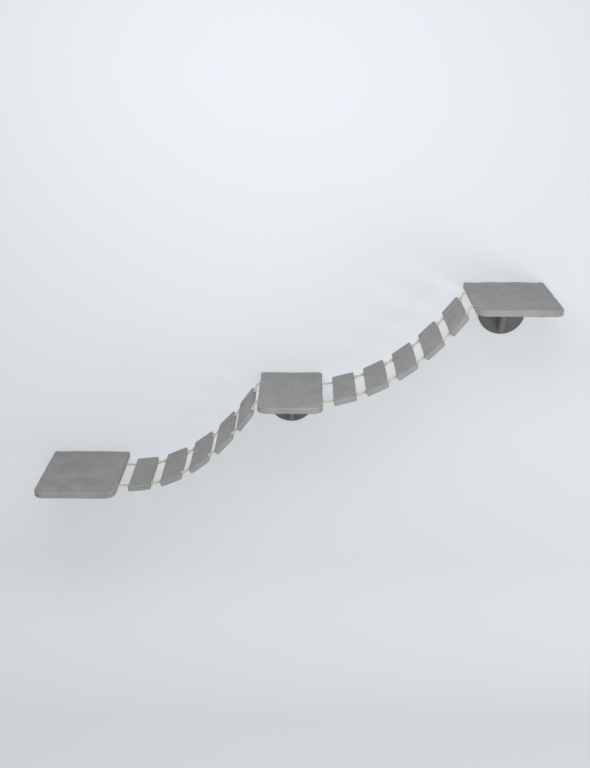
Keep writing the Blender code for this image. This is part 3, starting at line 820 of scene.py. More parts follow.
def lifted(mesh, lift):
    """Pushes the outside of a cover along its normals and leaves the hollow as it is."""
    hollow = np.zeros(len(mesh.vertices), np.float32)
    mesh.attributes["hollow"].data.foreach_get("value", hollow)
    set_points(mesh, points_of(mesh) + normals_of(mesh) * (lift * (hollow < OUTSIDE))[:, None])
    mesh.attributes.remove(mesh.attributes["hollow"])


def rope_mouths(points, half, back, height, directions, radius, dent_width, dent_depth, inward, outward):
    """Where ropes go through the sides of a cover: the plush's dents as a lift, and the holes' cutters."""
    lift, cutters = np.zeros(len(points)), []
    for direction in directions:
        for rope_y in ROPES_Y:
            y = rope_y - back
            lift += dent(points, (direction * half, y, height), dent_width, dent_depth)
            cutters.append(rod(radius, (direction * (half - inward), y, height),
                               (direction * (half + outward), y, height)))
    return lift, cutters


def size_of(item):
    """What to print about a piece."""
    return f"{item.name}: {sum(len(face.vertices) - 2 for face in item.data.polygons)} triangles"


print("a hole has", HOLE_SIDES, "sides")

# %% [markdown]
# ## Platform covers
#
# Each platform's plush is one piece: a low crown on top, rounded front corners, square back corners against
# the wall, and a hem of 24 mm under the board. The two end platforms are alike in size and share one net,
# and only their marks differ. The right one was left a little loose along its front edge, the middle one
# keeps a crease from its box, and ropes dent the sides that they go into.

# %% Platform covers
PAD_TOP = 0.0024                   # plush and foam over the board
PAD_SIDE = 0.0022
BOARD_GAP = 0.0003
HEM = 0.0014
HEM_WIDTH = 0.024
PAD_EDGE = 0.0042                  # rounding of the upper edge
PAD_CROWN = 0.0016
PAD_SETTLES = 0.0008               # furthest that the plush moves
PLATFORM_RADII = (0.028, 0.008)    # front and back corners
PLATFORM_CORE = 0.032
CELL = 0.004
CORNER_CELLS = 8                   # cells from a corner's middle to where its side is straight
PRESSURE = 0.35
ROPE_HOLE = 0.0045
HOLE_REACH = (0.006, 0.004)        # a hole's cutter reaches this far inside and outside the cover's side
DENT = 0.0012
DENT_WIDTH = 0.006
GENTLE_BUMPS = (0.07, 0.00022)     # between two bumps of the foam, and their depth
FIRST_SEED = 11
ROPE_SIDES = {"left": (1,), "middle": (-1, 1), "right": (-1,)}
SOFT_EDGE = 50                     # degrees, above which a cover's edge stays sharp


def platform_marks(side, pad, points):
    """What handling left on each platform, as a lift along the normals."""
    half, front = pad.width / 2, -pad.depth
    folds = {                      # start, end, between waves, depth, waver
        "left": [((half * 0.2, -0.13), (half * 0.75, -0.18), 0.018, 0.0004, 0.003)],
        "middle": [((half * 0.05, -0.03), (half * 0.12, front + 0.03), 0.008, 0.0005, 0.001),
                   ((-half * 0.8, front + 0.012), (half * 0.8, front + 0.010), 0.009, 0.0006, 0.0015)],
        "right": [((0.0, front + 0.008), (half * 1.1, front + 0.013), 0.010, 0.0016, 0.0035),
                  ((0.0, front + 0.017), (half * 1.1, front + 0.022), 0.010, 0.0012, 0.0035)],
    }
    lift = uneven(points, FIRST_SEED + SIDES.index(side), *GENTLE_BUMPS) + gathers(pad, points)
    for start, end, spacing, depth, waver in folds[side]:
        lift += ripples(points, (*start, 0), (*end, 0), spacing, depth, waver)
    return lift


platform_nets, platform_places = {}, {}
for side in SIDES:
    low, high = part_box(f"{side}_platform_cover")
    board_low, board_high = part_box(f"{side}_platform_board")
    width, depth = high.x - low.x, high.y - low.y
    ceiling = board_high.z + BOARD_GAP - low.z
    pad = Pad(width, depth, PLATFORM_RADII, ceiling, ceiling + PAD_TOP, PAD_SIDE, HEM, HEM_WIDTH, PAD_EDGE,
              PAD_CROWN, PLATFORM_CORE, CELL, CORNER_CELLS)
    kind = round(width, 4)
    if kind not in platform_nets:
        net = pad.mesh("platform_net")
        set_points(net, crowned(pad, points_of(net)))
        settle(pad, net, PRESSURE, PAD_SETTLES)
        platform_nets[kind] = net
    net = subdivided(platform_nets[kind].copy())
    corner = Vector(((low.x + high.x) / 2, high.y, low.z))
    platform_places[side] = (pad, corner)
    points = points_of(net)
    dents, holes = rope_mouths(points, width / 2, corner.y, (board_low.z + board_high.z) / 2 - corner.z,
                               ROPE_SIDES[side], ROPE_HOLE, DENT_WIDTH, DENT, *HOLE_REACH)
    lifted(net, platform_marks(side, pad, points) + dents)
    mesh = smoothed(drilled(net, holes, f"{side}_platform_plush"), SOFT_EDGE)
    mesh.transform(Matrix.Translation(corner))
    cover = object_of(mesh, plush)
    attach(cover, "wall_set")
    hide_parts(f"{side}_platform_cover")
    print(size_of(cover))

# %% [markdown]
# ## Slat covers
#
# The ten slats share one net, which is settled once. Each slat gets its own slow bumps, its dents and rope
# holes, and is then turned and moved to its place. The lowest slat of the lower ladder was covered less
# tightly: its front end sags in a soft fold.

# %% Slat covers
SLAT_WIDTH = 0.061
SLAT_LENGTH = 0.190
SLAT_RADII = (0.004, 0.004)
SLAT_SIDE = 0.0015
SLAT_HEM = 0.0012
SLAT_HEM_WIDTH = 0.014
SLAT_EDGE = 0.0028
SLAT_CROWN = 0.0010
SLAT_SETTLES = 0.0007
SLAT_CORE = 0.016
SLAT_CELL = 0.0033
SLAT_BOARD = 0.0115
SLAT_TOP = 0.0012
SLAT_CEILING = SLAT_HEM + SLAT_BOARD + 2 * BOARD_GAP
SLAT_ROPE = SLAT_HEM + BOARD_GAP + SLAT_BOARD / 2
SLAT_HOLE = 0.0037
SLAT_CORNER_CELLS = 2
SLAT_HOLE_REACH = (0.005, 0.003)
SLAT_DENT_WIDTH = 0.005
SLAT_BUMPS = (0.05, 0.00018)
SLAT_GATHERS = (0.0007, 0.007)     # depth, and metres between two pleats
SLAT_SEED = 40
FOLD_X = 0.010                     # middle of the fold on the loose front end
FOLD_WIDTH = 0.012                 # along x
FOLD_REACH = 0.005                 # how far it reaches from the end face
FOLD_HEIGHT = 0.0085               # of its line, where x is 0
FOLD_SLANT = 0.08                  # how steeply the line rises along x
FOLD_SOFT = 0.0022                 # half the width of its ridge and of its furrow
RIDGE = (0.0016, 0.0025)           # how high it is, and how far above the line
FURROW = (0.0024, 0.0018)          # how deep it is, and how far below the line
LOOSE_WAVE = (0.009, 0.0009, 0.002)    # between two waves, depth, waver

slat_pad = Pad(SLAT_WIDTH, SLAT_LENGTH, SLAT_RADII, SLAT_CEILING, SLAT_CEILING + SLAT_TOP, SLAT_SIDE,
               SLAT_HEM, SLAT_HEM_WIDTH, SLAT_EDGE, SLAT_CROWN, SLAT_CORE, SLAT_CELL, SLAT_CORNER_CELLS)
slat_net = slat_pad.mesh("slat_net")
set_points(slat_net, crowned(slat_pad, points_of(slat_net)))
settle(slat_pad, slat_net, PRESSURE, SLAT_SETTLES)


def slat_place(name):
    """The matrix that takes a mesh from where a Pad is drawn to where the slat hangs."""
    centre, tilt = slats[name]
    return (Matrix.Translation(centre) @ Matrix.Rotation(-tilt, 4, "Y")
            @ Matrix.Translation((0, SLAT_LENGTH / 2, -SLAT_ROPE)))


def sagging_end(points):
    """The fold across a front end that was covered less tightly: a ridge over a furrow, both aslant."""
    front = -SLAT_LENGTH
    end_face = bell(points[:, 1] - front, FOLD_REACH) * bell(points[:, 0] - FOLD_X, FOLD_WIDTH)
    above = points[:, 2] - (FOLD_HEIGHT + points[:, 0] * FOLD_SLANT)
    ridge = RIDGE[0] * bell(above - RIDGE[1], FOLD_SOFT)
    furrow = FURROW[0] * bell(above + FURROW[1], FOLD_SOFT)
    wave = ripples(points, (-0.020, front + 0.010, 0), (0.028, front + 0.006, 0), *LOOSE_WAVE)
    return end_face * (ridge - furrow) + wave


for order, name in enumerate(slats):
    net = subdivided(slat_net.copy())
    points = points_of(net)
    lift = uneven(points, SLAT_SEED + order, *SLAT_BUMPS) + gathers(slat_pad, points, *SLAT_GATHERS)
    dents, holes = rope_mouths(points, SLAT_WIDTH / 2, slats[name][0].y + SLAT_LENGTH / 2, SLAT_ROPE, (-1, 1),
                               SLAT_HOLE, SLAT_DENT_WIDTH, DENT * 0.7, *SLAT_HOLE_REACH)
    lifted(net, lift + dents + (sagging_end(points) if name == "lower_slat_1" else 0))
    mesh = smoothed(drilled(net, holes, f"{name}_plush"), SOFT_EDGE)
    mesh.transform(slat_place(name))
    cover = object_of(mesh, plush)
    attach(cover, name)
    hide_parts(f"{name}_cover")
print(size_of(cover), "each")

# %% [markdown]
# ## Wall plates
#
# A wall plate is a disc of wood, turned with a round front edge, with plush glued over it. It is drawn here
# as rings round its axis. The plush sinks a little where a screw pulls it in, and each screw has its
# countersunk hole, also the two from behind that hold the rib.

# %% Wall plates
PLATE_RADIUS = 0.0655
PLATE_THICK = 0.010
PLATE_EDGE = 0.007
BACK_EDGE = 0.0008
PLATE_SIDES = 128
PLATE_RINGS = 18
DIMPLE = 0.0005                    # how far a screw pulls the plush in
DIMPLE_WIDTH = 0.009
PLATE_BUMPS = (0.05, 0.00016)
PLATE_SEED = 77
PLATE_SHARP = 40                   # degrees, above which a plate's edge stays sharp
HUB = 0.001                        # radius of the smallest ring
CUT_PAST = 0.001                   # how far a hole's cutter passes both faces of the plate
SCREWS = {"wall": 4, "rib": 2}     # through each plate
SCREW_EASE = 0.0003
HEAD_RADIUS = 0.0045
HEAD_RIM = 0.0004                  # the head is a cylinder this deep, and then a cone
HEAD_DEPTH = 0.0026
SHANK = 0.00225
SCREW_TURNS = {                    # which way each kind points, and the turn from pointing down
    "wall": ("+Y", Matrix.Rotation(math.radians(90), 4, "X")),
    "rib": ("-Y", Matrix.Rotation(math.radians(-90), 4, "X")),
    "board": ("-Z", Matrix.Identity(4)),
}


def head_of(name, kind):
    """The middle of a screw's head, and the screw's length, from its solid."""
    low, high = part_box(name)
    sign, letter = SCREW_TURNS[kind][0]
    axis = "XYZ".index(letter)
    head = (low + high) / 2
    head[axis] = low[axis] if sign == "+" else high[axis]
    return head, high[axis] - low[axis]


def revolved(rings, sides):
    """A closed mesh from (height, radius) rings round z, with flat ends."""
    points = [(radius * math.cos(a), radius * math.sin(a), height) for height, radius in rings
              for a in np.linspace(0, 2 * math.pi, sides, endpoint=False)]
    faces = [tuple(range(sides - 1, -1, -1)), tuple(range(len(points) - sides, len(points)))]
    faces += [(low + i, low + (i + 1) % sides, low + sides + (i + 1) % sides, low + sides + i)
              for low in range(0, len(points) - sides, sides) for i in range(sides)]
    return closed_mesh("revolved", points, faces)


def screw_void(kind, head, depth):
    """A cutter for a countersunk hole, from the head down to the given depth."""
    wide, narrow = HEAD_RADIUS + SCREW_EASE, SHANK + SCREW_EASE
    rings = [(CUT_PAST, wide), (-HEAD_RIM, wide), (-HEAD_DEPTH, narrow), (-depth, narrow)]
    mesh = revolved(rings, HOLE_SIDES)
    mesh.transform(Matrix.Translation(head) @ SCREW_TURNS[kind][1])
    return mesh


def plate_mesh(centre, heads):
    """A wrapped disc round its back's centre, with a dimple at each screw's head."""
    rings = [(0.0, HUB), (0.0, PLATE_RADIUS * 0.5), (0.0, PLATE_RADIUS - BACK_EDGE),
             (BACK_EDGE * 0.3, PLATE_RADIUS - BACK_EDGE * 0.3), (BACK_EDGE, PLATE_RADIUS)]
    rings += [(PLATE_THICK - PLATE_EDGE * (1 - math.sin(a)), PLATE_RADIUS - PLATE_EDGE * (1 - math.cos(a)))
              for a in np.linspace(0, math.pi / 2, 10)]
    flat = PLATE_RADIUS - PLATE_EDGE
    rings += [(PLATE_THICK, max(flat * (1 - i / PLATE_RINGS), HUB)) for i in range(1, PLATE_RINGS + 1)]
    mesh = revolved(rings, PLATE_SIDES)
    mesh.transform(Matrix.Translation(centre) @ Matrix.Rotation(math.radians(90), 4, "X"))
    points = points_of(mesh)
    front = points[:, 1] < -PLATE_THICK * 0.6
    lift = uneven(points, PLATE_SEED, *PLATE_BUMPS)
    for head in heads:
        lift += dent(points, head, DIMPLE_WIDTH, DIMPLE)
    points[:, 1] -= lift * front
    set_points(mesh, points)
    return mesh


for side in SIDES:
    heads = {kind: [head_of(f"{side}_{kind}_screw_{n}", kind)[0] for n in range(1, count + 1)]
             for kind, count in SCREWS.items()}
    low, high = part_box(f"{side}_wall_plate")
    centre = Vector(((low.x + high.x) / 2, high.y, (low.z + high.z) / 2))
    disc = plate_mesh(centre, heads["wall"])
    holes = [screw_void(kind, head, PLATE_THICK + CUT_PAST) for kind in SCREWS for head in heads[kind]]
    mesh = smoothed(drilled(disc, holes, f"{side}_wall_plate_wrapped"), PLATE_SHARP)
    # The plates' plush is the platforms' plush painted darker, as painted shade.
    piece = object_of(mesh, shaded_plate_plush)
    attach(piece, "wall_set")
    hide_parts(f"{side}_wall_plate")
    print(size_of(piece))

# %% [markdown]
# ## Ribs
#
# A rib is a board on edge, wrapped in the same plush, in a copy painted darker than the platforms' as painted
# shade and lighter than the plates' as painted light on its lit face. Glued fabric rounds every edge a
# little, so the rib's solid is filled with small cubes by a voxel remesh and smoothed, which softens all its
# edges at once.

# %% Ribs
VOXEL = 0.0012
SMOOTHINGS = 6

for side in SIDES:
    item = object_of(nodes[f"{side}_rib"].data.copy())
    remesh = item.modifiers.new("voxels", "REMESH")
    remesh.mode = "VOXEL"
    remesh.voxel_size = VOXEL
    remesh.use_smooth_shade = True
    smooth = item.modifiers.new("soft edges", "SMOOTH")
    smooth.factor = 0.5
    smooth.iterations = SMOOTHINGS
    # The rib's plush is painted darker than the platforms' as shade and lighter than the plates' as light.
    piece = object_of(baked(item, f"{side}_rib_wrapped"), rib_shade_and_light_plush)
    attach(piece, "wall_set")
    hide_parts(f"{side}_rib")
    print(size_of(piece))

# %% [markdown]
# ## Boards
#
# The boards are seen from below, in the windows of the covers. Their solids are already right, down to the
# pocket for each rope's end knot, so they only need their plywood.

# %% Boards
for name, item in nodes.items():
    if name.endswith("_board"):
        item.data.materials.clear()
        item.data.materials.append(plywood)
print("boards in birch plywood")

# %% [markdown]
# ## Screws
#
# A countersunk wood screw is pressed and rolled from wire: a cross stamped in the head, a plain neck, then
# one thread that winds down to a sharp point. The thread is written as a height: the angle round the screw
# plus the distance along it says how far the surface is from a crest. A plain cone would pass at a
# distance, but the screws' points stick out behind the wall plates.

# %% Screws
HEAD_BEVEL = 0.00015
HEAD_FILLET = 0.0004
CREST = SHANK                      # the thread's radius
NECK_RADIUS = CREST * 0.84
CORE = 0.0015                      # radius between the thread's crests
PITCH = 0.0018
FLANK = 0.24                       # from a crest to its foot, in turns
NECK = 0.35                        # share of the screw that has no thread
POINT = 0.004
POINT_WIDTH = 0.12                 # share of the screw's width that is left at the point
ROUND = 20
RINGS_PER_TURN = 8
CROSS_HALF = 0.0023
CROSS_WIDTH = 0.00055
CROSS_ABOVE = 0.0004
CROSS_DEEP = 0.0021
CROSS_WIDENS, CROSS_NARROWS = 1.1, 0.45    # its size above and at the bottom, as shares of the size given
THREAD_SHARP = 38                  # degrees, above which a screw's edge stays sharp
SCREW_SEED = 5


def screw_rings(length):
    """(depth, radii round it) from the head's face to just above the point."""
    start = HEAD_DEPTH + (length - HEAD_DEPTH) * NECK
    rings = [(depth, [radius] * ROUND) for depth, radius in (
        (0.0, HEAD_RADIUS - HEAD_BEVEL), (HEAD_RIM, HEAD_RADIUS), (HEAD_DEPTH, CREST * 0.86),
        (HEAD_DEPTH + HEAD_FILLET, NECK_RADIUS), (start, NECK_RADIUS))]
    count = round((length - start) / PITCH * RINGS_PER_TURN)
    for i in range(1, count):
        depth = start + (length - start) * i / count
        taper = POINT_WIDTH + (1 - POINT_WIDTH) * min(1.0, (length - depth) / POINT)
        grown_in = min(1.0, i / RINGS_PER_TURN)
        off_crest = [abs((depth / PITCH + turn / ROUND) % 1 - 0.5) for turn in range(ROUND)]
        rings.append((depth, [(CORE + (CREST - CORE) * max(0.0, 1 - off / FLANK) * grown_in) * taper
                              for off in off_crest]))
    return rings


def screw_mesh(length):
    """A screw whose head's face is at z = 0 and whose point is at z = -length."""
    points = []
    for depth, radii in screw_rings(length):
        for radius, angle in zip(radii, np.linspace(0, 2 * math.pi, ROUND, endpoint=False)):
            points.append((radius * math.cos(angle), radius * math.sin(angle), -depth))
    tip = len(points)
    faces = [tuple(range(ROUND))]
    for low in range(0, tip - ROUND, ROUND):
        for i in range(ROUND):
            j = (i + 1) % ROUND
            faces.append((low + i, low + ROUND + i, low + ROUND + j, low + j))
    points.append((0, 0, -length))
    faces += [(tip - ROUND + i, tip, tip - ROUND + (i + 1) % ROUND) for i in range(ROUND)]
    mesh = bpy.data.meshes.new("screw blank")
    mesh.from_pydata(points, [], faces)
    return smoothed(drilled(mesh, [cross_cutter()], "screw"), THREAD_SHARP)


def cross_cutter():
    """A cross that narrows downwards, for the recess in a screw's head."""
    a, b = CROSS_HALF, CROSS_WIDTH
    outline = [(a, -b), (a, b), (b, b), (b, a), (-b, a), (-b, b), (-a, b), (-a, -b), (-b, -b), (-b, -a),
               (b, -a), (b, -b)]
    top = [(x * CROSS_WIDENS, y * CROSS_WIDENS, CROSS_ABOVE) for x, y in outline]
    bottom = [(x * CROSS_NARROWS, y * CROSS_NARROWS, -CROSS_DEEP) for x, y in outline]
    n = len(outline)
    faces = [tuple(range(n)), tuple(range(2 * n - 1, n - 1, -1))]
    faces += [(i, i + n, (i + 1) % n + n, (i + 1) % n) for i in range(n)]
    return closed_mesh("cross", top + bottom, faces)


random = np.random.default_rng(SCREW_SEED)
for kind, (points_to, turn) in SCREW_TURNS.items():
    names = [name for name in nodes if f"_{kind}_screw_" in name]
    pattern = screw_mesh(head_of(names[0], kind)[1])
    for name in names:
        mesh = pattern.copy()
        mesh.name = f"{name}_threaded"
        mesh.transform(Matrix.Translation(head_of(name, kind)[0]) @ turn
                       @ Matrix.Rotation(random.uniform(0, 6.28), 4, "Z"))
        piece = object_of(mesh, zinc)
        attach(piece, "wall_set")
        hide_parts(name)
    bpy.data.meshes.remove(pattern)
    print(f"{len(names)} {kind} screws pointing {points_to}; {size_of(piece)}")

# %% [markdown]
# ## Staples
#
# Upholsterers tack a hem with a row of zinc staples. A Geometry Nodes tree sets one staple on every point of
# a resampled line, turned along it with a little carelessness, so one tree serves all thirteen hems. The
# line is left open where a rib and its wall plate are in the way.

# %% Staples
CROWN = 0.010                      # width of a staple
WIRE = 0.0007                      # the flat wire's thickness
WIRE_WIDTH = WIRE * 1.3
LEG = 0.004
EVERY = 0.030
CARELESS = 0.22                    # how far askew a staple may be, in radians
PLATFORM_TACKED = 0.016            # from the edge of the cover to the staples
SLAT_TACKED = 0.0085
CLEAR = 0.020                      # left free on both sides of the rib
SLAT_STAPLE_SEED = 10
WIRE_SHARP = 50                    # degrees, above which a staple's edge stays sharp


def staple_mesh():
    """One staple along x that points up, with its crown just below z = 0."""
    half, bend_radius = CROWN / 2, WIRE * 1.1
    path = [(-half, LEG), (-half, bend_radius)]
    path += [(-half + bend_radius * (1 - math.cos(a)), bend_radius * (1 - math.sin(a))) for a in (0.5, 1.05)]
    path += [(-half + bend_radius, 0.0)]
    path += [(-x, z) for x, z in reversed(path)]
    section = [(0.5, 0.3), (0.3, 0.5), (-0.3, 0.5), (-0.5, 0.3),
               (-0.5, -0.3), (-0.3, -0.5), (0.3, -0.5), (0.5, -0.3)]
    points = []
    for i, (x, z) in enumerate(path):
        before, after = path[max(i - 1, 0)], path[min(i + 1, len(path) - 1)]
        run = np.array([after[0] - before[0], after[1] - before[1]])
        aside = np.array([-run[1], run[0]]) / np.linalg.norm(run)
        points += [(x + aside[0] * u * WIRE, v * WIRE_WIDTH, z + aside[1] * u * WIRE) for u, v in section]
    n = len(section)
    faces = [tuple(range(n)), tuple(range(len(points) - 1, len(points) - 1 - n, -1))]
    faces += [(i * n + j, i * n + (j + 1) % n, (i + 1) * n + (j + 1) % n, (i + 1) * n + j)
              for i in range(len(path) - 1) for j in range(n)]
    return closed_mesh("staple", points, faces)


def new_tree(name, *sockets):
    """A Geometry Nodes tree with one geometry through it and the extra inputs given."""
    tree = bpy.data.node_groups.new(name, "GeometryNodeTree")
    tree.interface.new_socket("Geometry", in_out="INPUT", socket_type="NodeSocketGeometry")
    for label, kind in sockets:
        tree.interface.new_socket(label, in_out="INPUT", socket_type=f"NodeSocket{kind}")
    tree.interface.new_socket("Geometry", in_out="OUTPUT", socket_type="NodeSocketGeometry")
    return tree, add(tree, "NodeGroupInput").outputs


def end_tree(tree, geometry, material):
    """Makes real meshes of the geometry, gives them the material and ends the tree."""
    whole = add(tree, "GeometryNodeRealizeInstances", {"Geometry": geometry})
    painted = add(tree, "GeometryNodeSetMaterial",
                  {"Geometry": whole.outputs["Geometry"], "Material": material})
    add(tree, "NodeGroupOutput", {"Geometry": painted.outputs["Geometry"]})


def grown(mesh, tree, name, **values):
    """The mesh that a tree grows on a mesh, with the tree's inputs set by name."""
    item = object_of(mesh)
    modifier = item.modifiers.new("growth", "NODES")
    modifier.node_group = tree
    for socket in tree.interface.items_tree:
        if socket.in_out == "INPUT" and socket.name in values:
            modifier[socket.identifier] = values[socket.name]
    item.update_tag()
    return baked(item, name)


tack_tree, given = new_tree("tacked hem", ("Staple", "Object"), ("Every", "Float"), ("Seed", "Int"),
                            ("Material", "Material"))
line = add(tack_tree, "GeometryNodeMeshToCurve", {"Mesh": given["Geometry"]})
spots = add(tack_tree, "GeometryNodeCurveToPoints",
            {"Curve": line.outputs["Curve"], "Length": given["Every"]}, mode="LENGTH")
along_it = add(tack_tree, "FunctionNodeAxesToRotation",
               {"Primary Axis": (0.0, 0.0, 1.0), "Secondary Axis": spots.outputs["Tangent"]},
               primary_axis="Z", secondary_axis="X")
# For numbers, a Random Value node takes its limits at 2 and 3 and its seed at 8, and answers at 1.
careless = add(tack_tree, "FunctionNodeRandomValue", {2: -CARELESS, 3: CARELESS, 8: given["Seed"]},
               data_type="FLOAT")
askew = add(tack_tree, "FunctionNodeAxisAngleToRotation",
            {"Axis": (0.0, 0.0, 1.0), "Angle": careless.outputs[1]})
turned = add(tack_tree, "FunctionNodeRotateRotation",
             {"Rotation": along_it.outputs["Rotation"], "Rotate By": askew.outputs["Rotation"]},
             rotation_space="LOCAL")
one = add(tack_tree, "GeometryNodeObjectInfo", {"Object": given["Staple"]})
row = add(tack_tree, "GeometryNodeInstanceOnPoints", {
    "Points": spots.outputs["Points"],
    "Instance": one.outputs["Geometry"],
    "Rotation": turned.outputs["Rotation"],
})
end_tree(tack_tree, row.outputs["Instances"], given["Material"])
staple = object_of(staple_mesh())


def hem_line(pad, inset, clear=0.0):
    """The staples' line on the underside of a cover, from beside the rib round to its other side."""
    middle = np.array([0.0, -pad.depth / 2])
    shrink = 1 - 2 * inset / np.array([pad.width, pad.depth])
    ring = (pad.outline() - middle) * shrink + middle
    start = int(np.argmin(np.abs(ring[:, 0]) + np.abs(ring[:, 1] + inset)))
    ring = np.roll(ring, -start, axis=0)
    if clear:
        away = np.hypot(ring[:, 0], ring[:, 1] + inset)
        ring = ring[away > clear]
    else:
        ring = np.concatenate([ring, ring[:1]])
    mesh = bpy.data.meshes.new("hem line")
    mesh.from_pydata([(x, y, 0.0) for x, y in ring], [(i, i + 1) for i in range(len(ring) - 1)], [])
    return mesh


def tack(pad, inset, clear, seed, name, body, place):
    """One cover's row of staples, as a piece on its body."""
    mesh = smoothed(grown(hem_line(pad, inset, clear), tack_tree, f"{name}_staples",
                          Staple=staple, Every=EVERY, Seed=seed, Material=zinc), WIRE_SHARP)
    mesh.transform(place)
    piece = object_of(mesh, zinc)
    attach(piece, body)
    return piece


for seed, (side, (pad, corner)) in enumerate(platform_places.items()):
    tack(pad, PLATFORM_TACKED, CLEAR, seed, f"{side}_platform", "wall_set", Matrix.Translation(corner))
for seed, name in enumerate(slats):
    piece = tack(slat_pad, SLAT_TACKED, 0.0, SLAT_STAPLE_SEED + seed, name, name, slat_place(name))
bpy.data.objects.remove(staple, do_unlink=True)
print(size_of(piece))

# %% [markdown]
# ## Laid rope
#
# Cotton rope is laid: three strands wind round each other, one turn every 19 mm. The tree takes the rope's
# middle line, copies it three times, pushes each copy out by an angle that grows along the line, and sweeps
# a circle along it. Since it works on any line, the knots need no other tool: there the line itself coils.

# %% A tree that lays rope
ROPE_RADIUS = 0.003
LAY = 0.019
STEP = 0.00095                     # between two rings of a strand
STRANDS = 3
STRAND_SIDES = 8
STRAND_RADIUS = ROPE_RADIUS / (1 + 2 / math.sqrt(3))


def combine(tree, operation, *vectors):
    return add(tree, "ShaderNodeVectorMath", dict(enumerate(vectors)), operation=operation).outputs["Vector"]


def scaled(tree, vector, factor):
    node = add(tree, "ShaderNodeVectorMath", {0: vector, "Scale": factor}, operation="SCALE")
    return node.outputs["Vector"]


def kept(tree, geometry, **fields):
    """Keeps fields as they are here for use further on. Gives the geometry and the kept fields."""
    node = add(tree, "GeometryNodeCaptureAttribute", {"Geometry": geometry})
    for label, field in fields.items():
        node.capture_items.new("VECTOR" if field.type == "VECTOR" else "FLOAT", label)
        feed(tree, node, {label: field})
    return node.outputs["Geometry"], [node.outputs[label] for label in fields]


rope_tree, given = new_tree("laid rope", ("Strands", "Int"), ("Strand radius", "Float"), ("Offset", "Float"),
                            ("Lay", "Float"), ("Step", "Float"), ("Material", "Material"))
line = add(rope_tree, "GeometryNodeMeshToCurve", {"Mesh": given["Geometry"]}).outputs["Curve"]
line = add(rope_tree, "GeometryNodeResampleCurve", {"Curve": line, "Length": given["Step"]}, mode="LENGTH")
thick = add(rope_tree, "GeometryNodeInputNamedAttribute", {"Name": "thick"}, data_type="FLOAT")
line, (along, normal, tangent, thick) = kept(
    rope_tree, line.outputs["Curve"],
    along=add(rope_tree, "GeometryNodeSplineParameter").outputs["Length"],
    normal=add(rope_tree, "GeometryNodeInputNormal").outputs["Normal"],
    tangent=add(rope_tree, "GeometryNodeInputTangent").outputs["Tangent"],
    thick=thick.outputs["Attribute"])
copies = add(rope_tree, "GeometryNodeDuplicateElements", {"Geometry": line, "Amount": given["Strands"]},
             domain="SPLINE")
turns = calculate(rope_tree, "ADD", calculate(rope_tree, "DIVIDE", along, given["Lay"]),
                  calculate(rope_tree, "DIVIDE", copies.outputs["Duplicate Index"], given["Strands"]))
angle = calculate(rope_tree, "MULTIPLY", turns, 2 * math.pi)
across = scaled(rope_tree, normal, calculate(rope_tree, "COSINE", angle))
upward = scaled(rope_tree, combine(rope_tree, "CROSS_PRODUCT", tangent, normal),
                calculate(rope_tree, "SINE", angle))
out = scaled(rope_tree, combine(rope_tree, "ADD", across, upward),
             calculate(rope_tree, "MULTIPLY", given["Offset"], thick))
strands = add(rope_tree, "GeometryNodeSetPosition", {"Geometry": copies.outputs["Geometry"], "Offset": out})
circle = add(rope_tree, "GeometryNodeCurvePrimitiveCircle",
             {"Resolution": STRAND_SIDES, "Radius": given["Strand radius"]}, mode="RADIUS")
circle, (around,) = kept(rope_tree, circle.outputs["Curve"],
                         around=combine(rope_tree, "NORMALIZE",
                                        add(rope_tree, "GeometryNodeInputPosition").outputs["Position"]))
skin = add(rope_tree, "GeometryNodeCurveToMesh",
           {"Curve": strands.outputs["Geometry"], "Profile Curve": circle, "Scale": thick, "Fill Caps": True})
around = add(rope_tree, "ShaderNodeSeparateXYZ", {"Vector": around}).outputs
laid = add(rope_tree, "ShaderNodeCombineXYZ", {"X": around["X"], "Y": around["Y"], "Z": along})
skin = add(rope_tree, "GeometryNodeStoreNamedAttribute",
           {"Geometry": skin.outputs["Mesh"], "Name": "lay", "Value": laid.outputs["Vector"]},
           data_type="FLOAT_VECTOR", domain="POINT")
skin = add(rope_tree, "GeometryNodeSetShadeSmooth", {"Geometry": skin.outputs["Geometry"]})
end_tree(rope_tree, skin.outputs["Geometry"], given["Material"])
print("strands", round(STRAND_RADIUS * 2000, 2), "mm thick")

# %% [markdown]
# ## The ropes' course
#
# A rope leaves a platform level, sags to the first slat, runs straight through it, and so on up the ladder.
# The knots take up the load: one stops each slat from sliding down, and more space the slats. When the
# ladder sways the rope bends only in the gaps, so each gap is a piece of its own that blends from the motion
# of the slat below to that of the slat above. The pieces meet out of sight, in the middle of the slats. The
# last gap's rope rides on the last slat, and slides a little in the platform's hole.

# %% Rope courses
KNOT_TURNS = 1.6
KNOT_LENGTH = 0.0082
KNOT_OFF = 0.0004                  # from a slat's face to its knot
KNOT_COIL = 0.0029
KNOT_THICK = 0.90
KNOT_EASE = 0.16                   # share of a knot in which it swells at each end
PULL = 1.15                        # how firmly a gap's rope keeps to the tilt of its ends
PATH_STEP = 0.0002                 # between two points of a rope's line
MOUTH = 0.0022                     # how far a gap's rope reaches into a platform
END_MOUTH = MOUTH * 0.4            # how deep in the platform's plush the rope's held end begins
POCKET = 0.033                     # from a platform's face to the middle of its end knot
TAIL = 0.003
SLAT_HALF = SLAT_WIDTH / 2


def heading(tilt):
    """One metre at this tilt, in x and z."""
    return np.array([math.cos(tilt), math.sin(tilt)])


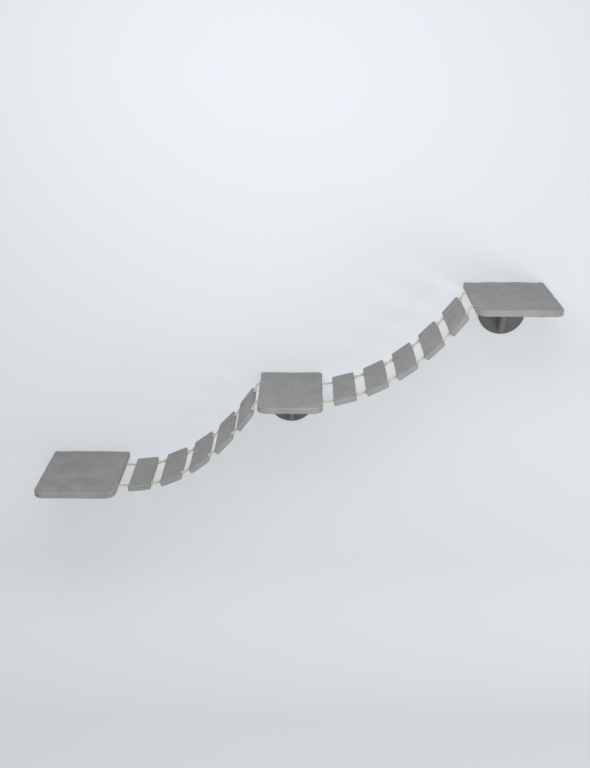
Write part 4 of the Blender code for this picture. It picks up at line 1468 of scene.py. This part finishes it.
def bend(start, start_tilt, end, end_tilt, count=60):
    """A rope that leaves start and reaches end at the tilts given, as points in x and z."""
    pull = np.hypot(*(end - start)) * PULL
    leave, reach = pull * heading(start_tilt), pull * heading(end_tilt)
    t = np.linspace(0, 1, count)[:, None]
    return ((2 * t ** 3 - 3 * t ** 2 + 1) * start + (t ** 3 - 2 * t ** 2 + t) * leave
            + (3 * t ** 2 - 2 * t ** 3) * end + (t ** 3 - t ** 2) * reach)


def coiled(path, knots):
    """Points along a path in x and z, as (x, aside, z) with the knots coiled in, and their thickness."""
    steps = np.linalg.norm(np.diff(path, axis=0), axis=1)
    places = np.concatenate([[0], np.cumsum(steps)])
    at = np.arange(0, places[-1], PATH_STEP)
    x, z = np.interp(at, places, path[:, 0]), np.interp(at, places, path[:, 1])
    aside = np.zeros(len(at))
    thick = np.ones(len(at))
    run = np.gradient(np.column_stack([x, z]), axis=0)
    run /= np.linalg.norm(run, axis=1)[:, None]
    for first in knots:
        share = (at - first) / KNOT_LENGTH
        inside = (share > 0) & (share < 1)
        swell = np.clip(np.minimum(share, 1 - share) / KNOT_EASE, 0, 1)
        swell = np.where(inside, swell * swell * (3 - 2 * swell), 0)
        angle = 2 * math.pi * KNOT_TURNS * np.clip(share, 0, 1)
        aside += KNOT_COIL * swell * np.cos(angle)
        x = x - KNOT_COIL * swell * np.sin(angle) * run[:, 1]
        z = z + KNOT_COIL * swell * np.sin(angle) * run[:, 0]
        thick -= (1 - KNOT_THICK) * swell
    return np.column_stack([x, aside, z]), thick


def lay_rope(courses, name):
    """Lays rope along (points, thickness) courses, once for the back rope and once for the front."""
    vertices, edges, thicknesses = [], [], []
    for rope_y in ROPES_Y:
        for points, thick in courses:
            first = len(vertices)
            vertices += [(x, rope_y + aside, z) for x, aside, z in points.tolist()]
            edges += [(i, i + 1) for i in range(first, len(vertices) - 1)]
            thicknesses += thick.tolist()
    mesh = bpy.data.meshes.new("rope line")
    mesh.from_pydata(vertices, edges, [])
    mesh.attributes.new("thick", "FLOAT", "POINT").data.foreach_set("value", thicknesses)
    values = {"Strands": STRANDS, "Strand radius": STRAND_RADIUS, "Offset": ROPE_RADIUS - STRAND_RADIUS,
              "Lay": LAY, "Step": STEP, "Material": cotton}
    return object_of(grown(mesh, rope_tree, name, **values), cotton)


def mouth_of(side, direction):
    """Where the ropes go into a platform: x and z of its face at the ropes' height."""
    low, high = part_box(f"{side}_platform_cover")
    return np.array([high.x if direction > 0 else low.x, middle_of(f"{side}_platform_board").z])


def gap_lines(ladder, low_end, high_end):
    """For each gap: where its rope begins under the lower cover, its free points, and where it ends."""
    hung = [slats[f"{ladder}_slat_{n}"] for n in range(1, SLATS + 1)]
    tilts = [tilt for _, tilt in hung]
    middles = [np.array([centre.x, centre.z]) for centre, _ in hung]
    outs = [low_end] + [middle + SLAT_HALF * heading(tilt) for middle, tilt in zip(middles, tilts)]
    intos = [middle - SLAT_HALF * heading(tilt) for middle, tilt in zip(middles, tilts)] + [high_end]
    free = [bend(*ends) for ends in zip(outs, [0.0] + tilts, intos, tilts + [0.0])]
    return zip([low_end - LEVEL * MOUTH] + middles, free, middles + [high_end + LEVEL * MOUTH])


LEVEL = heading(0.0)
for ladder, (below, above) in zip(LADDERS, (("left", "middle"), ("middle", "right"))):
    low_end, high_end = mouth_of(below, 1), mouth_of(above, -1)
    for gap, (before, free, after) in enumerate(gap_lines(ladder, low_end, high_end)):
        lead = np.hypot(*(free[0] - before))
        length = np.linalg.norm(np.diff(free, axis=0), axis=1).sum()
        knot_below, knot_above = gap > 0, 0 < gap < SLATS
        knots = [lead + KNOT_OFF] if knot_below else []
        knots += [lead + length - KNOT_OFF - KNOT_LENGTH] if knot_above else []
        points, thick = coiled(np.concatenate([[before], free, [after]]), knots)
        piece = lay_rope([(points, thick)], f"{ladder}_rope_gap_{gap + 1}")
        if gap == SLATS:
            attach(piece, f"{ladder}_slat_{SLATS}")
        else:
            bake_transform(piece)
        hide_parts(f"{ladder}_back_rope", f"{ladder}_front_rope")
    courses = []
    for face, inward in ((low_end, -LEVEL), (high_end, LEVEL)):
        tail_end = face + inward * POCKET + inward * (KNOT_LENGTH / 2 + TAIL)
        path = np.array([face + inward * END_MOUTH, tail_end])
        courses.append(coiled(path, [POCKET - END_MOUTH - KNOT_LENGTH / 2]))
    ends = lay_rope(courses, f"{ladder}_rope_ends")
    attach(ends, "wall_set")
    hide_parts(f"{ladder}_back_rope", f"{ladder}_front_rope")
    print(ladder, size_of(piece), "/", size_of(ends))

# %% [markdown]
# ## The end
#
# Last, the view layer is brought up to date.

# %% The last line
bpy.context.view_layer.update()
